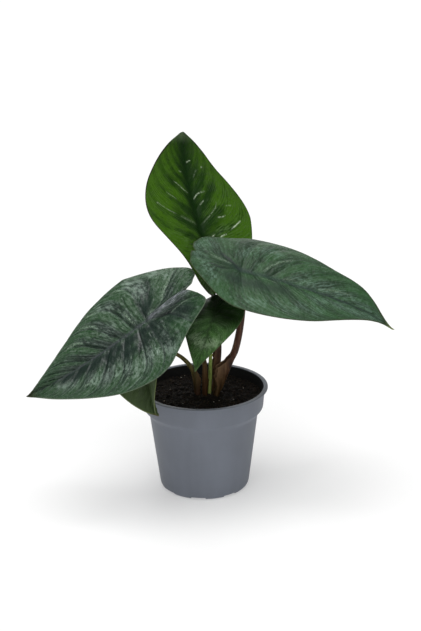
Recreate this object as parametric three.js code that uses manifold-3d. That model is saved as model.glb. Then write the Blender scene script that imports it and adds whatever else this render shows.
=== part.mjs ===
// Potted alocasia scalprum: five peltate leaves on sheathed petioles, rising from a
// rootstock in a peat-filled round nursery pot. Millimetres, +Z up, the front of the
// plant towards -Y. The origin is the middle of the pot's flat underside.
import * as THREE from 'three';
import { mergeVertices } from 'three/addons/utils/BufferGeometryUtils.js';
import Module from 'manifold-3d';

const wasm = await Module();
wasm.setup();

// Clearance kept between pieces that touch, and round the stems in the soil
const GAP = 0.3;
const HOLE_GAP = 0.45;
const HOLE_FLARE = 0.6;
const HOLE_SIDES = 20;

// Pot
const POT_HEIGHT = 98.2;
const RIM_RADIUS = 60;
const LIP_HEIGHT = 1.6;
const LIP_OVERHANG = 2.8;
const LIP_ROUND = 0.45;
const COLLAR_HEIGHT = 19.5;
const COLLAR_DRAFT = 1.6;
const SHOULDER_HEIGHT = 5.6;
const BODY_TOP_RADIUS = 50.7;
const BODY_BASE_RADIUS = 41.6;
const HEEL_RADIUS = 5.5;
const WALL = 1.5;
const FOOT_HEIGHT = 2.5;
const FOOT_RING_INNER = 30.5;
const FOOT_DRAFT = 0.8;
const HUB_RADIUS = 20;
const HUB_DRAFT = 1.5;
const FOOT_COUNT = 8;
const FOOT_NOTCH_WIDTH = 14;
const FOOT_NOTCH_LENGTH = 16;
const FOOT_NOTCH_TURN = -99;
const DRAIN_RADIUS = 3.6;
const DRAIN_CIRCLE = 25.5;
const POT_SEGMENTS = 48;

// Soil
const SOIL_DROP = 9.5;
const SOIL_MOUND = 3.2;
const SOIL_RINGS = 8;
const SOIL_LUMP = 0.7;

// Plant
const CROWN = { x: 3.4, y: -3.4 };
const STEM_FOOT = 78;
const SOIL_LINE = 93;
const ROOTSTOCK_RADIUS = 13;
const ROOTSTOCK_HEIGHT = 17;
const ROOTSTOCK_SIDES = 20;
const ROOTSTOCK_FLATTEN = 0.85;
const SHEATH_EDGE = 0.9;
const BLADE_THICKNESS = 0.9;
const KEEL_DEPTH = 1.1;
const KEEL_WIDTH = 2.4;
const KEEL_TAPER = 0.85;
const VEIN_SPACING = 0.24;
const LOBE_VEIN_SPACING = 0.14;
const FIRST_VEIN = 0.02;
const CREST_WIDTH = 3.2;
const CREST_START = 0.06;
const MARGIN_WAVES = 7.3;
const LOBE_BLEND = 0.4;
const CORNER_PLACE = 0.45;
const CORNER_WIDTH = 0.25;
const SHOULDER_PLACE = -0.09;
const SHOULDER_WIDTH = 0.09;
const COLUMN_SPREAD = 1.25;
const NECK_LENGTH = 12;

// Blade outline from the basal notch to the tip, on the left half of a flat blade.
// Each row gives where its lateral vein leaves the midrib, then where it meets the
// margin: along the midrib in blade lengths, and out from it in half widths.
const VEIN_ROWS = [
  { rib: -0.345, along: -0.345, out: 0 },
  { rib: -0.3, along: -0.39, out: 0.1 },
  { rib: -0.24, along: -0.41, out: 0.29 },
  { rib: -0.165, along: -0.375, out: 0.6 },
  { rib: -0.08, along: -0.245, out: 0.86 },
  { rib: 0, along: -0.03, out: 0.99 },
  { rib: 0.08, along: 0.16, out: 0.985 },
  { rib: 0.19, along: 0.38, out: 0.84 },
  { rib: 0.37, along: 0.61, out: 0.555 },
  { rib: 0.59, along: 0.81, out: 0.265 },
  { rib: 0.81, along: 0.935, out: 0.075 },
  { rib: 1, along: 1, out: 0 },
];
const JUNCTION_ROW = 5 / 11;

// Leaves. Junction is where the petiole meets the blade. Length runs from there to
// the tip and halfWidth from the midrib to the margin. Of the part behind the
// junction, notch scales the joined middle, lobes (left, right) the two lobes, corner
// adds to their ends, shoulder widens them and lobeBow bends them aside. Heading,
// pitch and roll (degrees) aim the midrib and turn the upper face about it. Droop,
// curl and lobeDroop bend the midrib; sickle bows it sideways. Fold and cup (left,
// right) raise and round the two halves, tipFold and lobeFold change the fold towards
// the tip and the lobes, full and forward shape the margin. Width scales each half at
// even steps from junction to tip. Quilt is the swelling between lateral veins, crest
// the rib over the joined lobes and wave the ripple of the margin (mm). Lean tips the
// petiole towards the blade tip.
const LEAVES = [
  {
    name: 'left', color: 0x2c4434, roughness: 0.42,
    junction: [-49, -54, 182.5], length: 129, halfWidth: 51,
    notch: 1, lobes: [0.9, 1.1], corner: [0.1, 0],
    shoulder: [-0.15, 0], lobeBow: 0.08,
    heading: 183.5, pitch: -36.5, roll: -44,
    droop: 4, curl: -18.5, lobeDroop: -21, sickle: -0.06,
    fold: [12, 12.5], cup: [-9, -27],
    width: [[1.1, 1.1, 1.1, 1.2, 1.3], [0.95, 0.95, 0.9, 0.8, 0.7]],
    tipFold: -12, lobeFold: [30, -80], full: 1.1, forward: 0,
    quilt: 1.9, crest: 1.6, wave: 0.5, lean: 0.3, rows: 33, columns: 6,
  },
  {
    name: 'right', color: 0x34493b, roughness: 0.6,
    junction: [35.5, -25, 220], length: 154, halfWidth: 48.5,
    notch: 0.8, lobes: [0.75, 0.65], corner: [0, 0.07],
    shoulder: [-0.15, 0.05], lobeBow: 0.4,
    heading: -3, pitch: -15.5, roll: 26.5,
    droop: 9, curl: 22, lobeDroop: -14, sickle: 0.01,
    fold: [11, 14.5], cup: [-39, -33],
    width: [[1.1, 0.94, 1.2, 0.78, 0.4], [0.97, 1.06, 0.95, 0.62, 0.35]],
    tipFold: 8.5, lobeFold: [-42, 26], full: 0.95, forward: 0.07,
    quilt: 0.8, crest: 0.6, wave: 0.4, lean: -0.1, rows: 33, columns: 6,
  },
  {
    name: 'top', color: 0x2f5a1c, roughness: 0.35,
    junction: [6, 28.5, 220], length: 116.5, halfWidth: 53,
    notch: 1, lobes: [1.05, 0.85], corner: [0, 0],
    shoulder: [-0.15, -0.1], lobeBow: 0.3,
    heading: 119.5, pitch: 53.5, roll: 14,
    droop: -2.5, curl: -26.5, lobeDroop: 24, sickle: -0.03,
    fold: [23, 18], cup: [-20, -8.5],
    width: [[1.13, 1.04, 1.03, 1.13, 1.45], [1.16, 0.99, 1.02, 1, 1.1]],
    tipFold: -25, lobeFold: [23.5, 0], full: 1.25, forward: 0.25,
    quilt: 1.1, crest: 0.4, wave: 0.4, lean: 1.3, rows: 33, columns: 6,
  },
  {
    name: 'front', color: 0x2b4a2c, roughness: 0.45,
    junction: [12, -41.5, 186], length: 73.5, halfWidth: 26.5,
    notch: 1, lobes: [0.9, 1], corner: [0, 0],
    shoulder: [-0.1, -0.05], lobeBow: 0.15,
    heading: 254, pitch: -24.5, roll: 3,
    droop: 8.5, curl: -8, lobeDroop: 45, sickle: -0.01,
    fold: [9, 7], cup: [-27, -31],
    width: [[1, 1, 1, 1, 1], [1.05, 1, 1, 1, 0.95]],
    tipFold: 2.5, lobeFold: [0, -40], full: 0.95, forward: -0.04,
    quilt: 0.7, crest: 0.5, wave: 0.3, lean: 0, rows: 22, columns: 4,
  },
  {
    name: 'low', color: 0x34451f, roughness: 0.5,
    junction: [-53, -43, 150], length: 62.5, halfWidth: 34.5,
    notch: 1, lobes: [1, 1], corner: [0, 0],
    shoulder: [0, 0], lobeBow: 0,
    heading: 287.5, pitch: -69.5, roll: 43,
    droop: 18.5, curl: 10, lobeDroop: 20, sickle: 0.01,
    fold: [54, 23.5], cup: [-31, -25],
    width: [[1, 1, 1, 1, 1], [1.05, 1.05, 1.05, 1.05, 1.05]],
    tipFold: 19, lobeFold: [0, 0], full: 1.15, forward: 0.09,
    quilt: 0.7, crest: 0.4, wave: 0.3, lean: -0.2, rows: 22, columns: 4,
  },
];

// Petioles. Route is the centre line above the soil, radius [x, y] of the foot first.
// Girth gives the radius at even steps from foot to blade. The sheath is a channel
// whose two margins reach out from the centre line in the direction open, widest at
// the height peak, between the soil and the height end.
const PETIOLES = {
  left: {
    color: 0x4a3a24, foot: [1.5, -8],
    route: [[1.5, -8.5, 108], [1.5, -10.5, 124], [-2, -14.5, 139], [-8.5, -21, 152],
      [-19.5, -30, 163.5], [-31, -38.5, 171.5]],
    girth: [2.6, 2.5, 2.3, 2.3, 2.2, 2.1],
    sheath: { reach: 3, peak: 104, end: 118, open: [0.5, 0.85] },
  },
  right: {
    color: 0x3c2a1e, foot: [12, -6.5],
    route: [[15.5, -6.5, 101], [20.5, -6.5, 113.5], [25.5, -6, 126], [30, -6, 136],
      [34, -5.5, 154], [36.5, -5.5, 175], [36, -8.5, 194]],
    girth: [3, 3.3, 3.3, 3.3, 3, 2.5],
    sheath: { reach: 8.5, peak: 114, end: 132, open: [-0.95, -0.25] },
  },
  top: {
    color: 0x3a1f1a, foot: [9.5, 3],
    route: [[11.5, 3, 105], [14, 3.5, 120], [15, 5, 135], [14, 8, 152],
      [12, 12.5, 171], [9, 18.5, 190]],
    girth: [2.6, 2.7, 2.6, 2.4, 2.2, 2],
    sheath: { reach: 5, peak: 122, end: 138, open: [-0.95, -0.35] },
  },
  front: {
    color: 0x7c8f4e, foot: [5.5, -3.5],
    route: [[6.5, -5.5, 110], [7, -9.5, 128], [8, -17.5, 146], [10.5, -28, 163]],
    girth: [1.9, 1.8, 1.7, 1.6, 1.6, 1.6],
    sheath: { reach: 0, peak: 104, end: 112, open: [0, -1] },
  },
  low: {
    color: 0x5a4a22, foot: [-5.5, -5],
    route: [[-6.5, -5.5, 102], [-9, -7.5, 115.5], [-13.5, -9.5, 124], [-20.5, -12, 132],
      [-29, -15.5, 138], [-38.5, -22, 142.5]],
    girth: [2.8, 3, 2.4, 1.8, 1.7, 1.6],
    sheath: { reach: 4, peak: 108, end: 121, open: [0.9, 0.45] },
  },
};

const radians = THREE.MathUtils.degToRad;

// Shared solid helpers
function toManifold(geometry) {
  const bare = geometry.clone();
  bare.deleteAttribute('normal');
  bare.deleteAttribute('uv');
  const merged = mergeVertices(bare, 1e-4);
  const vertProperties = new Float32Array(merged.attributes.position.array);
  const triVerts = new Uint32Array(merged.index.array);
  return new wasm.Manifold(new wasm.Mesh({ numProp: 3, vertProperties, triVerts }));
}

function fromManifold(manifold) {
  const mesh = manifold.getMesh();
  const geometry = new THREE.BufferGeometry();
  geometry.setAttribute('position', new THREE.BufferAttribute(mesh.vertProperties, 3));
  geometry.setIndex(new THREE.BufferAttribute(mesh.triVerts, 1));
  return geometry;
}

function namedMesh(name, geometry, color, roughness) {
  const material = new THREE.MeshStandardMaterial({ color, roughness, metalness: 0 });
  const mesh = new THREE.Mesh(geometry, material);
  mesh.name = name;
  return mesh;
}

function turned(profile, segments) {
  const points = profile.map(([r, z]) => new THREE.Vector2(r, z));
  const geometry = new THREE.LatheGeometry(points, segments);
  geometry.rotateX(Math.PI / 2);
  return geometry;
}

function upright(geometry, x, y, z) {
  geometry.rotateX(Math.PI / 2);
  geometry.translate(x, y, z);
  return geometry;
}

// Pot: wall heights worked out from the rim downwards
const lipBase = POT_HEIGHT - LIP_HEIGHT;
const collarTop = RIM_RADIUS - LIP_OVERHANG;
const collarBase = collarTop - COLLAR_DRAFT;
const collarFoot = POT_HEIGHT - COLLAR_HEIGHT;
const bodyTop = collarFoot - SHOULDER_HEIGHT;
const floorTop = FOOT_HEIGHT + WALL;

function bodyRadius(z) {
  const rise = (z - HEEL_RADIUS) / (bodyTop - HEEL_RADIUS);
  return THREE.MathUtils.lerp(BODY_BASE_RADIUS, BODY_TOP_RADIUS, rise);
}

function heelArc() {
  const points = [];
  for (const turn of [-90, -55, -20]) {
    const r = BODY_BASE_RADIUS - HEEL_RADIUS * (1 - Math.cos(radians(turn)));
    const z = HEEL_RADIUS * (1 + Math.sin(radians(turn)));
    points.push([r, z]);
  }
  return points;
}

function innerWall() {
  return [
    [collarTop - WALL, lipBase],
    [collarBase - WALL, collarFoot + WALL],
    [BODY_TOP_RADIUS - WALL, bodyTop],
    [bodyRadius(HEEL_RADIUS + WALL) - WALL, HEEL_RADIUS + WALL],
    [BODY_BASE_RADIUS - HEEL_RADIUS, floorTop],
  ];
}

function makePot() {
  const profile = [
    [0, 0],
    [HUB_RADIUS, 0],
    [HUB_RADIUS + HUB_DRAFT, FOOT_HEIGHT],
    [FOOT_RING_INNER, FOOT_HEIGHT],
    [FOOT_RING_INNER + FOOT_DRAFT, 0],
    ...heelArc(),
    [bodyRadius(HEEL_RADIUS + WALL), HEEL_RADIUS + WALL],
    [BODY_TOP_RADIUS, bodyTop],
    [collarBase, collarFoot],
    [collarTop, lipBase],
    [RIM_RADIUS, lipBase],
    [RIM_RADIUS, POT_HEIGHT - LIP_ROUND],
    [RIM_RADIUS - LIP_ROUND, POT_HEIGHT],
    [collarTop - WALL + LIP_ROUND, POT_HEIGHT],
    ...innerWall(),
    [HUB_RADIUS - WALL + HUB_DRAFT, floorTop],
    [HUB_RADIUS - WALL, WALL],
    [0, WALL],
  ];
  let pot = toManifold(turned(profile, POT_SEGMENTS));
  for (let i = 0; i < FOOT_COUNT; i += 1) {
    const turn = radians(FOOT_NOTCH_TURN + (360 * i) / FOOT_COUNT);
    const notch = new THREE.BoxGeometry(FOOT_NOTCH_LENGTH, FOOT_NOTCH_WIDTH, 2 * FOOT_HEIGHT);
    notch.translate(FOOT_RING_INNER + FOOT_NOTCH_LENGTH / 2 - 1, 0, 0);
    notch.rotateZ(turn);
    pot = pot.subtract(toManifold(notch));
    const drain = new THREE.CylinderGeometry(DRAIN_RADIUS, DRAIN_RADIUS, 4 * WALL, 12);
    upright(drain, DRAIN_CIRCLE, 0, FOOT_HEIGHT + WALL / 2);
    drain.rotateZ(turn);
    pot = pot.subtract(toManifold(drain));
  }
  return fromManifold(pot);
}

// Soil: its top rises to a low mound round the crown and is lumpy all over
function soilTop(x, y) {
  const wall = collarTop - COLLAR_DRAFT - WALL;
  const r = Math.hypot(x, y) / wall;
  const mound = SOIL_MOUND * Math.exp(-3 * r * r);
  const lumps = Math.sin(0.31 * x + 1.1) * Math.cos(0.27 * y - 0.4)
    + 0.6 * Math.sin(0.47 * y + 0.23 * x) + 0.5 * Math.cos(0.59 * x - 0.41 * y + 2);
  return POT_HEIGHT - SOIL_DROP + mound + SOIL_LUMP * lumps * (1 - 0.5 * r);
}

function makeSoil(petioleFeet) {
  const [, insideCollar, insideBody, insideHeel, insideFloor] = innerWall();
  const nominalTop = POT_HEIGHT - SOIL_DROP;
  const rise = (nominalTop - insideCollar[1]) / (lipBase - insideCollar[1]);
  const topRadius = insideCollar[0] + COLLAR_DRAFT * rise - GAP;
  const profile = [
    [0, WALL + GAP],
    [HUB_RADIUS - WALL - GAP, WALL + GAP],
    [HUB_RADIUS - WALL + HUB_DRAFT - GAP, floorTop + GAP],
    [insideFloor[0] - GAP, insideFloor[1] + GAP],
    [insideHeel[0] - GAP, insideHeel[1] + GAP],
    [insideBody[0] - GAP, insideBody[1] + GAP],
    [insideCollar[0] - GAP, insideCollar[1] + GAP],
  ];
  for (let i = SOIL_RINGS; i >= 0; i -= 1) {
    profile.push([(topRadius * i) / SOIL_RINGS, nominalTop]);
  }
  const body = turned(profile, POT_SEGMENTS);
  const position = body.attributes.position;
  for (let i = 0; i < position.count; i += 1) {
    if (position.getZ(i) > nominalTop - 0.01) {
      position.setZ(i, soilTop(position.getX(i), position.getY(i)));
    }
  }
  let soil = toManifold(body).subtract(toManifold(makeRootstock(HOLE_GAP)));
  for (const { foot, radius } of petioleFeet) {
    const depth = POT_HEIGHT - STEM_FOOT;
    const bottom = radius + HOLE_GAP;
    const hole = new THREE.CylinderGeometry(bottom + HOLE_FLARE, bottom, depth, HOLE_SIDES);
    upright(hole, foot[0], foot[1], STEM_FOOT - GAP + depth / 2);
    soil = soil.subtract(toManifold(hole));
  }
  return fromManifold(soil);
}

// Rootstock: a blunt stub with a flat top for the petiole bases
function makeRootstock(grow) {
  const top = STEM_FOOT - GAP + grow;
  const bottom = STEM_FOOT - GAP - ROOTSTOCK_HEIGHT - grow;
  const r = ROOTSTOCK_RADIUS + grow;
  const height = top - bottom;
  const profile = [
    [0, bottom],
    [0.45 * r, bottom + 0.04 * height],
    [0.8 * r, bottom + 0.28 * height],
    [r, bottom + 0.62 * height],
    [0.97 * r, top],
    [0, top],
  ];
  const geometry = turned(profile, ROOTSTOCK_SIDES);
  geometry.scale(1, ROOTSTOCK_FLATTEN, 1);
  geometry.translate(CROWN.x, CROWN.y, 0);
  return geometry;
}

// Blade axes: along the midrib, towards the leaf's left, and out of its upper face
function leafAxes(leaf) {
  const h = radians(leaf.heading);
  const p = radians(leaf.pitch);
  const r = radians(leaf.roll);
  const tipward = new THREE.Vector3(
    Math.cos(p) * Math.cos(h),
    Math.cos(p) * Math.sin(h),
    Math.sin(p),
  );
  const level = new THREE.Vector3(-Math.sin(h), Math.cos(h), 0);
  const leftward = level.applyAxisAngle(tipward, r);
  const upper = new THREE.Vector3().crossVectors(tipward, leftward);
  return { tipward, leftward, upper };
}

// Midrib curve: the slope grows with distance, and its sine and cosine are summed
function midribSlope(leaf, q) {
  const bend = q > 0 ? leaf.droop * q + leaf.curl * q ** 3 : leaf.lobeDroop * q;
  return radians(bend);
}

function midribAt(leaf, q) {
  const steps = 32;
  let along = 0;
  let below = 0;
  for (let i = 0; i < steps; i += 1) {
    const slope = midribSlope(leaf, (q * (i + 0.5)) / steps);
    along += (Math.cos(slope) * q) / steps;
    below += (Math.sin(slope) * q) / steps;
  }
  return { along, below, slope: midribSlope(leaf, q) };
}

const ribCurve = new THREE.SplineCurve(
  VEIN_ROWS.map(({ rib }) => new THREE.Vector2(rib, 0)),
);
const marginCurve = new THREE.SplineCurve(
  VEIN_ROWS.map(({ along, out }) => new THREE.Vector2(along, out)),
);

function bell(value, width) {
  return Math.exp(-((value / width) ** 2));
}

function widthCurve(widths) {
  return new THREE.SplineCurve(widths.map((width) => new THREE.Vector2(0, width)));
}

// Relief above the smooth blade: swellings between the lateral veins, lower towards
// the tip, the crest over the lobes, and the ripple of the margin
function relief(leaf, rib, s, t, v) {
  const spacing = rib > 0 ? VEIN_SPACING : LOBE_VEIN_SPACING;
  const swell = Math.abs(Math.sin((Math.PI * (rib - FIRST_VEIN)) / spacing));
  const taper = 1 - 0.6 * Math.max(0, rib);
  const quilt = leaf.quilt * taper * (swell - 0.5) * Math.sin(Math.PI * t ** 0.8);
  const rise = THREE.MathUtils.clamp(-rib / CREST_START, 0, 1);
  const crest = leaf.crest * rise * bell(v, CREST_WIDTH);
  const wave = leaf.wave * t ** 3 * Math.sin(MARGIN_WAVES * Math.PI * s) * Math.sin(Math.PI * s);
  return quilt + crest + wave;
}

function bladePoint(leaf, axes, side, s, t) {
  const half = side > 0 ? 0 : 1;
  const start = ribCurve.getPoint(s);
  const end = marginCurve.getPoint(s);
  let rib = start.x;
  let along = end.x;
  let out = Math.max(0, end.y);
  if (rib >= 0) {
    out **= 1 / leaf.full;
  }
  if (along < 0) {
    const outer = THREE.MathUtils.smoothstep(out, 0, LOBE_BLEND);
    along *= THREE.MathUtils.lerp(leaf.notch, leaf.lobes[half], outer);
  }
  if (rib < 0) {
    rib *= leaf.notch;
    along -= leaf.corner[half] * bell(out - CORNER_PLACE, CORNER_WIDTH);
  }
  along += leaf.forward * out;
  const q = rib + t * (along - rib);
  const place = THREE.MathUtils.clamp(start.x, 0, 1);
  const shoulder = 1 + leaf.shoulder[half] * bell(start.x - SHOULDER_PLACE, SHOULDER_WIDTH);
  const width = shoulder * widthCurve(leaf.width[half]).getPoint(place).y;
  const v = t * out * leaf.halfWidth * width;
  const fold = leaf.fold[half] + leaf.tipFold * THREE.MathUtils.clamp(q, 0, 1)
    + leaf.lobeFold[half] * Math.max(0, -q);
  const lift = radians(fold + (0.5 * leaf.cup[half] * v) / leaf.halfWidth);
  const bend = leaf.sickle * q * Math.abs(q) + leaf.lobeBow * Math.min(q, 0) ** 2;
  const bow = leaf.length * bend;
  const aside = side * v * Math.cos(lift) + bow;
  const above = v * Math.sin(lift) + relief(leaf, start.x, s, t, v);
  const { along: ahead, below, slope } = midribAt(leaf, q);
  return new THREE.Vector3(...leaf.junction)
    .addScaledVector(axes.tipward, ahead * leaf.length + above * Math.sin(slope))
    .addScaledVector(axes.upper, -below * leaf.length + above * Math.cos(slope))
    .addScaledVector(axes.leftward, aside);
}

// Keel: the midrib standing out below the blade, deepest at the notch end
function keelDepth(s, v) {
  return KEEL_DEPTH * bell(v, KEEL_WIDTH) * (1 - KEEL_TAPER * s);
}

// Blade: a grid of vein rows from notch to tip, margin to margin, is given thickness
// along its own normals, with a keel under the midrib, and closed round the margin
function makeBlade(leaf) {
  const axes = leafAxes(leaf);
  const across = 2 * leaf.columns;
  const points = [bladePoint(leaf, axes, 1, 0, 0)];
  const keels = [0];
  for (let i = 1; i < leaf.rows; i += 1) {
    const s = i / leaf.rows;
    for (let j = 0; j <= across; j += 1) {
      const t = Math.abs(j / leaf.columns - 1) ** COLUMN_SPREAD;
      const side = j < leaf.columns ? 1 : -1;
      const point = bladePoint(leaf, axes, side, s, t);
      points.push(point);
      keels.push(keelDepth(s, t * Math.max(0, marginCurve.getPoint(s).y) * leaf.halfWidth));
    }
  }
  points.push(bladePoint(leaf, axes, 1, 1, 0));
  keels.push(0);
  const last = points.length - 1;
  const node = (i, j) => 1 + (i - 1) * (across + 1) + j;
  const faces = [];
  for (let j = 0; j < across; j += 1) {
    faces.push([0, node(1, j + 1), node(1, j)]);
    faces.push([last, node(leaf.rows - 1, j), node(leaf.rows - 1, j + 1)]);
  }
  for (let i = 1; i < leaf.rows - 1; i += 1) {
    for (let j = 0; j < across; j += 1) {
      const flip = j < leaf.columns;
      const a = node(i, j);
      const b = node(i, j + 1);
      const c = node(i + 1, j);
      const d = node(i + 1, j + 1);
      faces.push(flip ? [a, b, c] : [a, b, d]);
      faces.push(flip ? [b, d, c] : [a, d, c]);
    }
  }
  const skin = new THREE.BufferGeometry().setFromPoints(points);
  skin.setIndex(faces.flat());
  skin.computeVertexNormals();
  const vertices = [];
  for (const under of [false, true]) {
    points.forEach((point, k) => {
      const normal = new THREE.Vector3().fromBufferAttribute(skin.attributes.normal, k);
      const depth = under ? -BLADE_THICKNESS / 2 - keels[k] : BLADE_THICKNESS / 2;
      vertices.push(point.clone().addScaledVector(normal, depth));
    });
  }
  const loop = [0];
  for (let i = 1; i < leaf.rows; i += 1) {
    loop.push(node(i, across));
  }
  loop.push(last);
  for (let i = leaf.rows - 1; i > 0; i -= 1) {
    loop.push(node(i, 0));
  }
  const under = points.length;
  const shell = [...faces];
  for (const [a, b, c] of faces) {
    shell.push([under + a, under + c, under + b]);
  }
  loop.forEach((a, k) => {
    const b = loop[(k + 1) % loop.length];
    shell.push([a, under + a, under + b]);
    shell.push([a, under + b, b]);
  });
  const geometry = new THREE.BufferGeometry().setFromPoints(vertices);
  geometry.setIndex(shell.flat());
  return geometry;
}

// Petiole section: a circle that opens, as open goes from 0 to 1, into a channel
// whose margins reach out in the local x direction
function sectionPoints(radius, reach, open) {
  const points = [];
  const back = [90, 135, 180, 225, 270];
  for (const turn of back) {
    points.push([radius * Math.cos(radians(turn)), radius * Math.sin(radians(turn))]);
  }
  const edge = SHEATH_EDGE;
  const channel = [
    [reach, -radius],
    [reach - 0.2, edge - radius],
    [0.2 * radius, -0.55 * radius],
    [0, 0],
    [0.2 * radius, 0.55 * radius],
    [reach - 0.2, radius - edge],
    [reach, radius],
  ];
  channel.forEach(([x, y], k) => {
    const turn = radians(-67.5 + 22.5 * k);
    points.push([
      THREE.MathUtils.lerp(radius * Math.cos(turn), x, open),
      THREE.MathUtils.lerp(radius * Math.sin(turn), y, open),
    ]);
  });
  return points;
}

function sheathOpening(sheath, z) {
  if (sheath.reach === 0) {
    return 0;
  }
  const rise = THREE.MathUtils.smoothstep(z, SOIL_LINE, sheath.peak);
  const fall = 1 - THREE.MathUtils.smoothstep(z, sheath.peak, sheath.end);
  return Math.min(rise, fall);
}

function girthAt(girth, t) {
  const place = t * (girth.length - 1);
  const k = Math.min(Math.floor(place), girth.length - 2);
  return THREE.MathUtils.lerp(girth[k], girth[k + 1], place - k);
}

// Petiole: rings of that section along the route, capped flat on the rootstock and
// cut parallel to the blade's underside at the top
function makePetiole(leaf, petiole) {
  const { tipward, upper } = leafAxes(leaf);
  const junction = new THREE.Vector3(...leaf.junction);
  const under = BLADE_THICKNESS / 2 + keelDepth(JUNCTION_ROW, 0) + GAP;
  const approach = upper.clone().addScaledVector(tipward, leaf.lean).normalize();
  const seat = junction.clone().addScaledVector(upper, -under);
  const [footX, footY] = petiole.foot;
  const path = new THREE.CatmullRomCurve3([
    new THREE.Vector3(footX, footY, STEM_FOOT),
    new THREE.Vector3(footX, footY, (STEM_FOOT + SOIL_LINE) / 2),
    new THREE.Vector3(footX, footY, SOIL_LINE),
    ...petiole.route.map((point) => new THREE.Vector3(...point)),
    seat.clone().addScaledVector(approach, -NECK_LENGTH),
    seat,
  ], false, 'catmullrom', 0.5);
  const steps = 2 * (petiole.route.length + 4);
  const open = new THREE.Vector3(...petiole.sheath.open, 0);
  const rings = [];
  for (let i = 0; i <= steps; i += 1) {
    const t = i / steps;
    const centre = path.getPoint(t);
    const along = path.getTangent(t);
    const x = open.clone().addScaledVector(along, -open.dot(along)).normalize();
    const y = new THREE.Vector3().crossVectors(along, x);
    const opening = sheathOpening(petiole.sheath, centre.z);
    const section = sectionPoints(girthAt(petiole.girth, t), petiole.sheath.reach, opening);
    const ring = section.map(([u, v]) => {
      const point = centre.clone().addScaledVector(x, u).addScaledVector(y, v);
      if (i === steps) {
        const over = point.clone().sub(seat).dot(upper);
        point.addScaledVector(along, -over / along.dot(upper));
      }
      return point;
    });
    rings.push(ring);
  }
  return ringSolid(rings);
}

function ringSolid(rings) {
  const count = rings[0].length;
  const points = rings.flat();
  const ends = [rings[0], rings[rings.length - 1]].map((ring) => {
    const middle = new THREE.Vector3();
    ring.forEach((point) => middle.addScaledVector(point, 1 / count));
    return middle;
  });
  const first = points.length;
  points.push(...ends);
  const faces = [];
  const top = (rings.length - 1) * count;
  for (let j = 0; j < count; j += 1) {
    const k = (j + 1) % count;
    faces.push([first, k, j]);
    faces.push([first + 1, top + j, top + k]);
    for (let i = 0; i < rings.length - 1; i += 1) {
      const low = i * count;
      const high = low + count;
      faces.push([low + j, low + k, high + k]);
      faces.push([low + j, high + k, high + j]);
    }
  }
  const geometry = new THREE.BufferGeometry().setFromPoints(points);
  geometry.setIndex(faces.flat());
  return geometry;
}

// The plant in its pot
const plant = new THREE.Group();
plant.name = 'potted_alocasia';
plant.add(namedMesh('pot', makePot(), 0x6b727c, 0.55));
const feet = Object.values(PETIOLES).map(({ foot, girth }) => ({ foot, radius: girth[0] }));
plant.add(namedMesh('soil', makeSoil(feet), 0x17110d, 0.95));
plant.add(namedMesh('rootstock', makeRootstock(0), 0x4a3524, 0.85));
for (const leaf of LEAVES) {
  const petiole = PETIOLES[leaf.name];
  plant.add(namedMesh(`petiole_${leaf.name}`, makePetiole(leaf, petiole), petiole.color, 0.45));
  plant.add(namedMesh(`blade_${leaf.name}`, makeBlade(leaf), leaf.color, leaf.roughness));
}

export default plant;
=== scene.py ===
"""Potted alocasia scalprum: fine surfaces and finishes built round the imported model.

The tables hold millimetres in the model's own frame, and MM turns them into metres.
"""

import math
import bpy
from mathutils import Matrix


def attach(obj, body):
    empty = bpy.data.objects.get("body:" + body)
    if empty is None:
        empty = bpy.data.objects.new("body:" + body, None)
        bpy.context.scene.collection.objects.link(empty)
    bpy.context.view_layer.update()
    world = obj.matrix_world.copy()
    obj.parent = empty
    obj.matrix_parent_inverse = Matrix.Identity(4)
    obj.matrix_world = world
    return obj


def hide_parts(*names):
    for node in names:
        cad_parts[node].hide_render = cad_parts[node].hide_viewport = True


bl_info = {
    "name": "Potted Alocasia Scalprum",
    "version": (1, 0, 0),
    "blender": (4, 5, 0),
    "location": "View3D > Sidebar > Alocasia",
    "description": "Builds the pot, soil, petioles and leaf blades of a potted alocasia",
    "category": "Add Mesh",
}

import bpy
import numpy as np
from bpy.props import FloatProperty, FloatVectorProperty, IntProperty, PointerProperty
from bpy.types import Operator, Panel, PropertyGroup
from mathutils import Matrix, Vector

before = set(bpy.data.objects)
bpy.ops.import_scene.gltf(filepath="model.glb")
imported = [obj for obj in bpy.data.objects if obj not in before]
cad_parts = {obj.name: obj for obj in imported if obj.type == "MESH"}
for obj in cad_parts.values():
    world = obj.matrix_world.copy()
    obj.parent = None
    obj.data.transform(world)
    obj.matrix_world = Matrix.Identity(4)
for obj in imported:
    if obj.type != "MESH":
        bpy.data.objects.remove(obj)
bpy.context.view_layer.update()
MM = 0.001

# Pot, in millimetres
RIM_RADIUS = 60.0
POT_HEIGHT = 98.2
LIP_HEIGHT = 1.6
LIP_OVERHANG = 2.8
COLLAR_HEIGHT = 19.5
COLLAR_DRAFT = 1.6
SHOULDER_HEIGHT = 5.6
BODY_TOP_RADIUS = 50.7
BODY_BASE_RADIUS = 41.6
HEEL_RADIUS = 5.5
WALL = 1.5
FOOT_HEIGHT = 2.5
FOOT_RING_INNER = 30.5
FOOT_DRAFT = 0.8
HUB_RADIUS = 20.0
HUB_DRAFT = 1.5
FOOT_COUNT = 8
FOOT_NOTCH_WIDTH = 14.0
FOOT_NOTCH_LENGTH = 16.0
FOOT_NOTCH_TURN = -99.0
DRAIN_RADIUS = 3.6
DRAIN_CIRCLE = 25.5
POT_SEGMENTS = 240

# Soil
SOIL_DROP = 9.5
SOIL_MOUND = 3.2
SOIL_LUMP = 0.7
SOIL_RINGS = 120
SOIL_SEGMENTS = 320
SOIL_GAP = 0.3
CRUMB_REACH = 53.0
GRAIN_LIFT = 0.3

# Place and size of the three largest pale grains
LARGE_GRAINS = ((27.3, -16.5, 1.0), (14.5, -20.0, 0.6), (-36.0, -17.0, 0.7))

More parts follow.
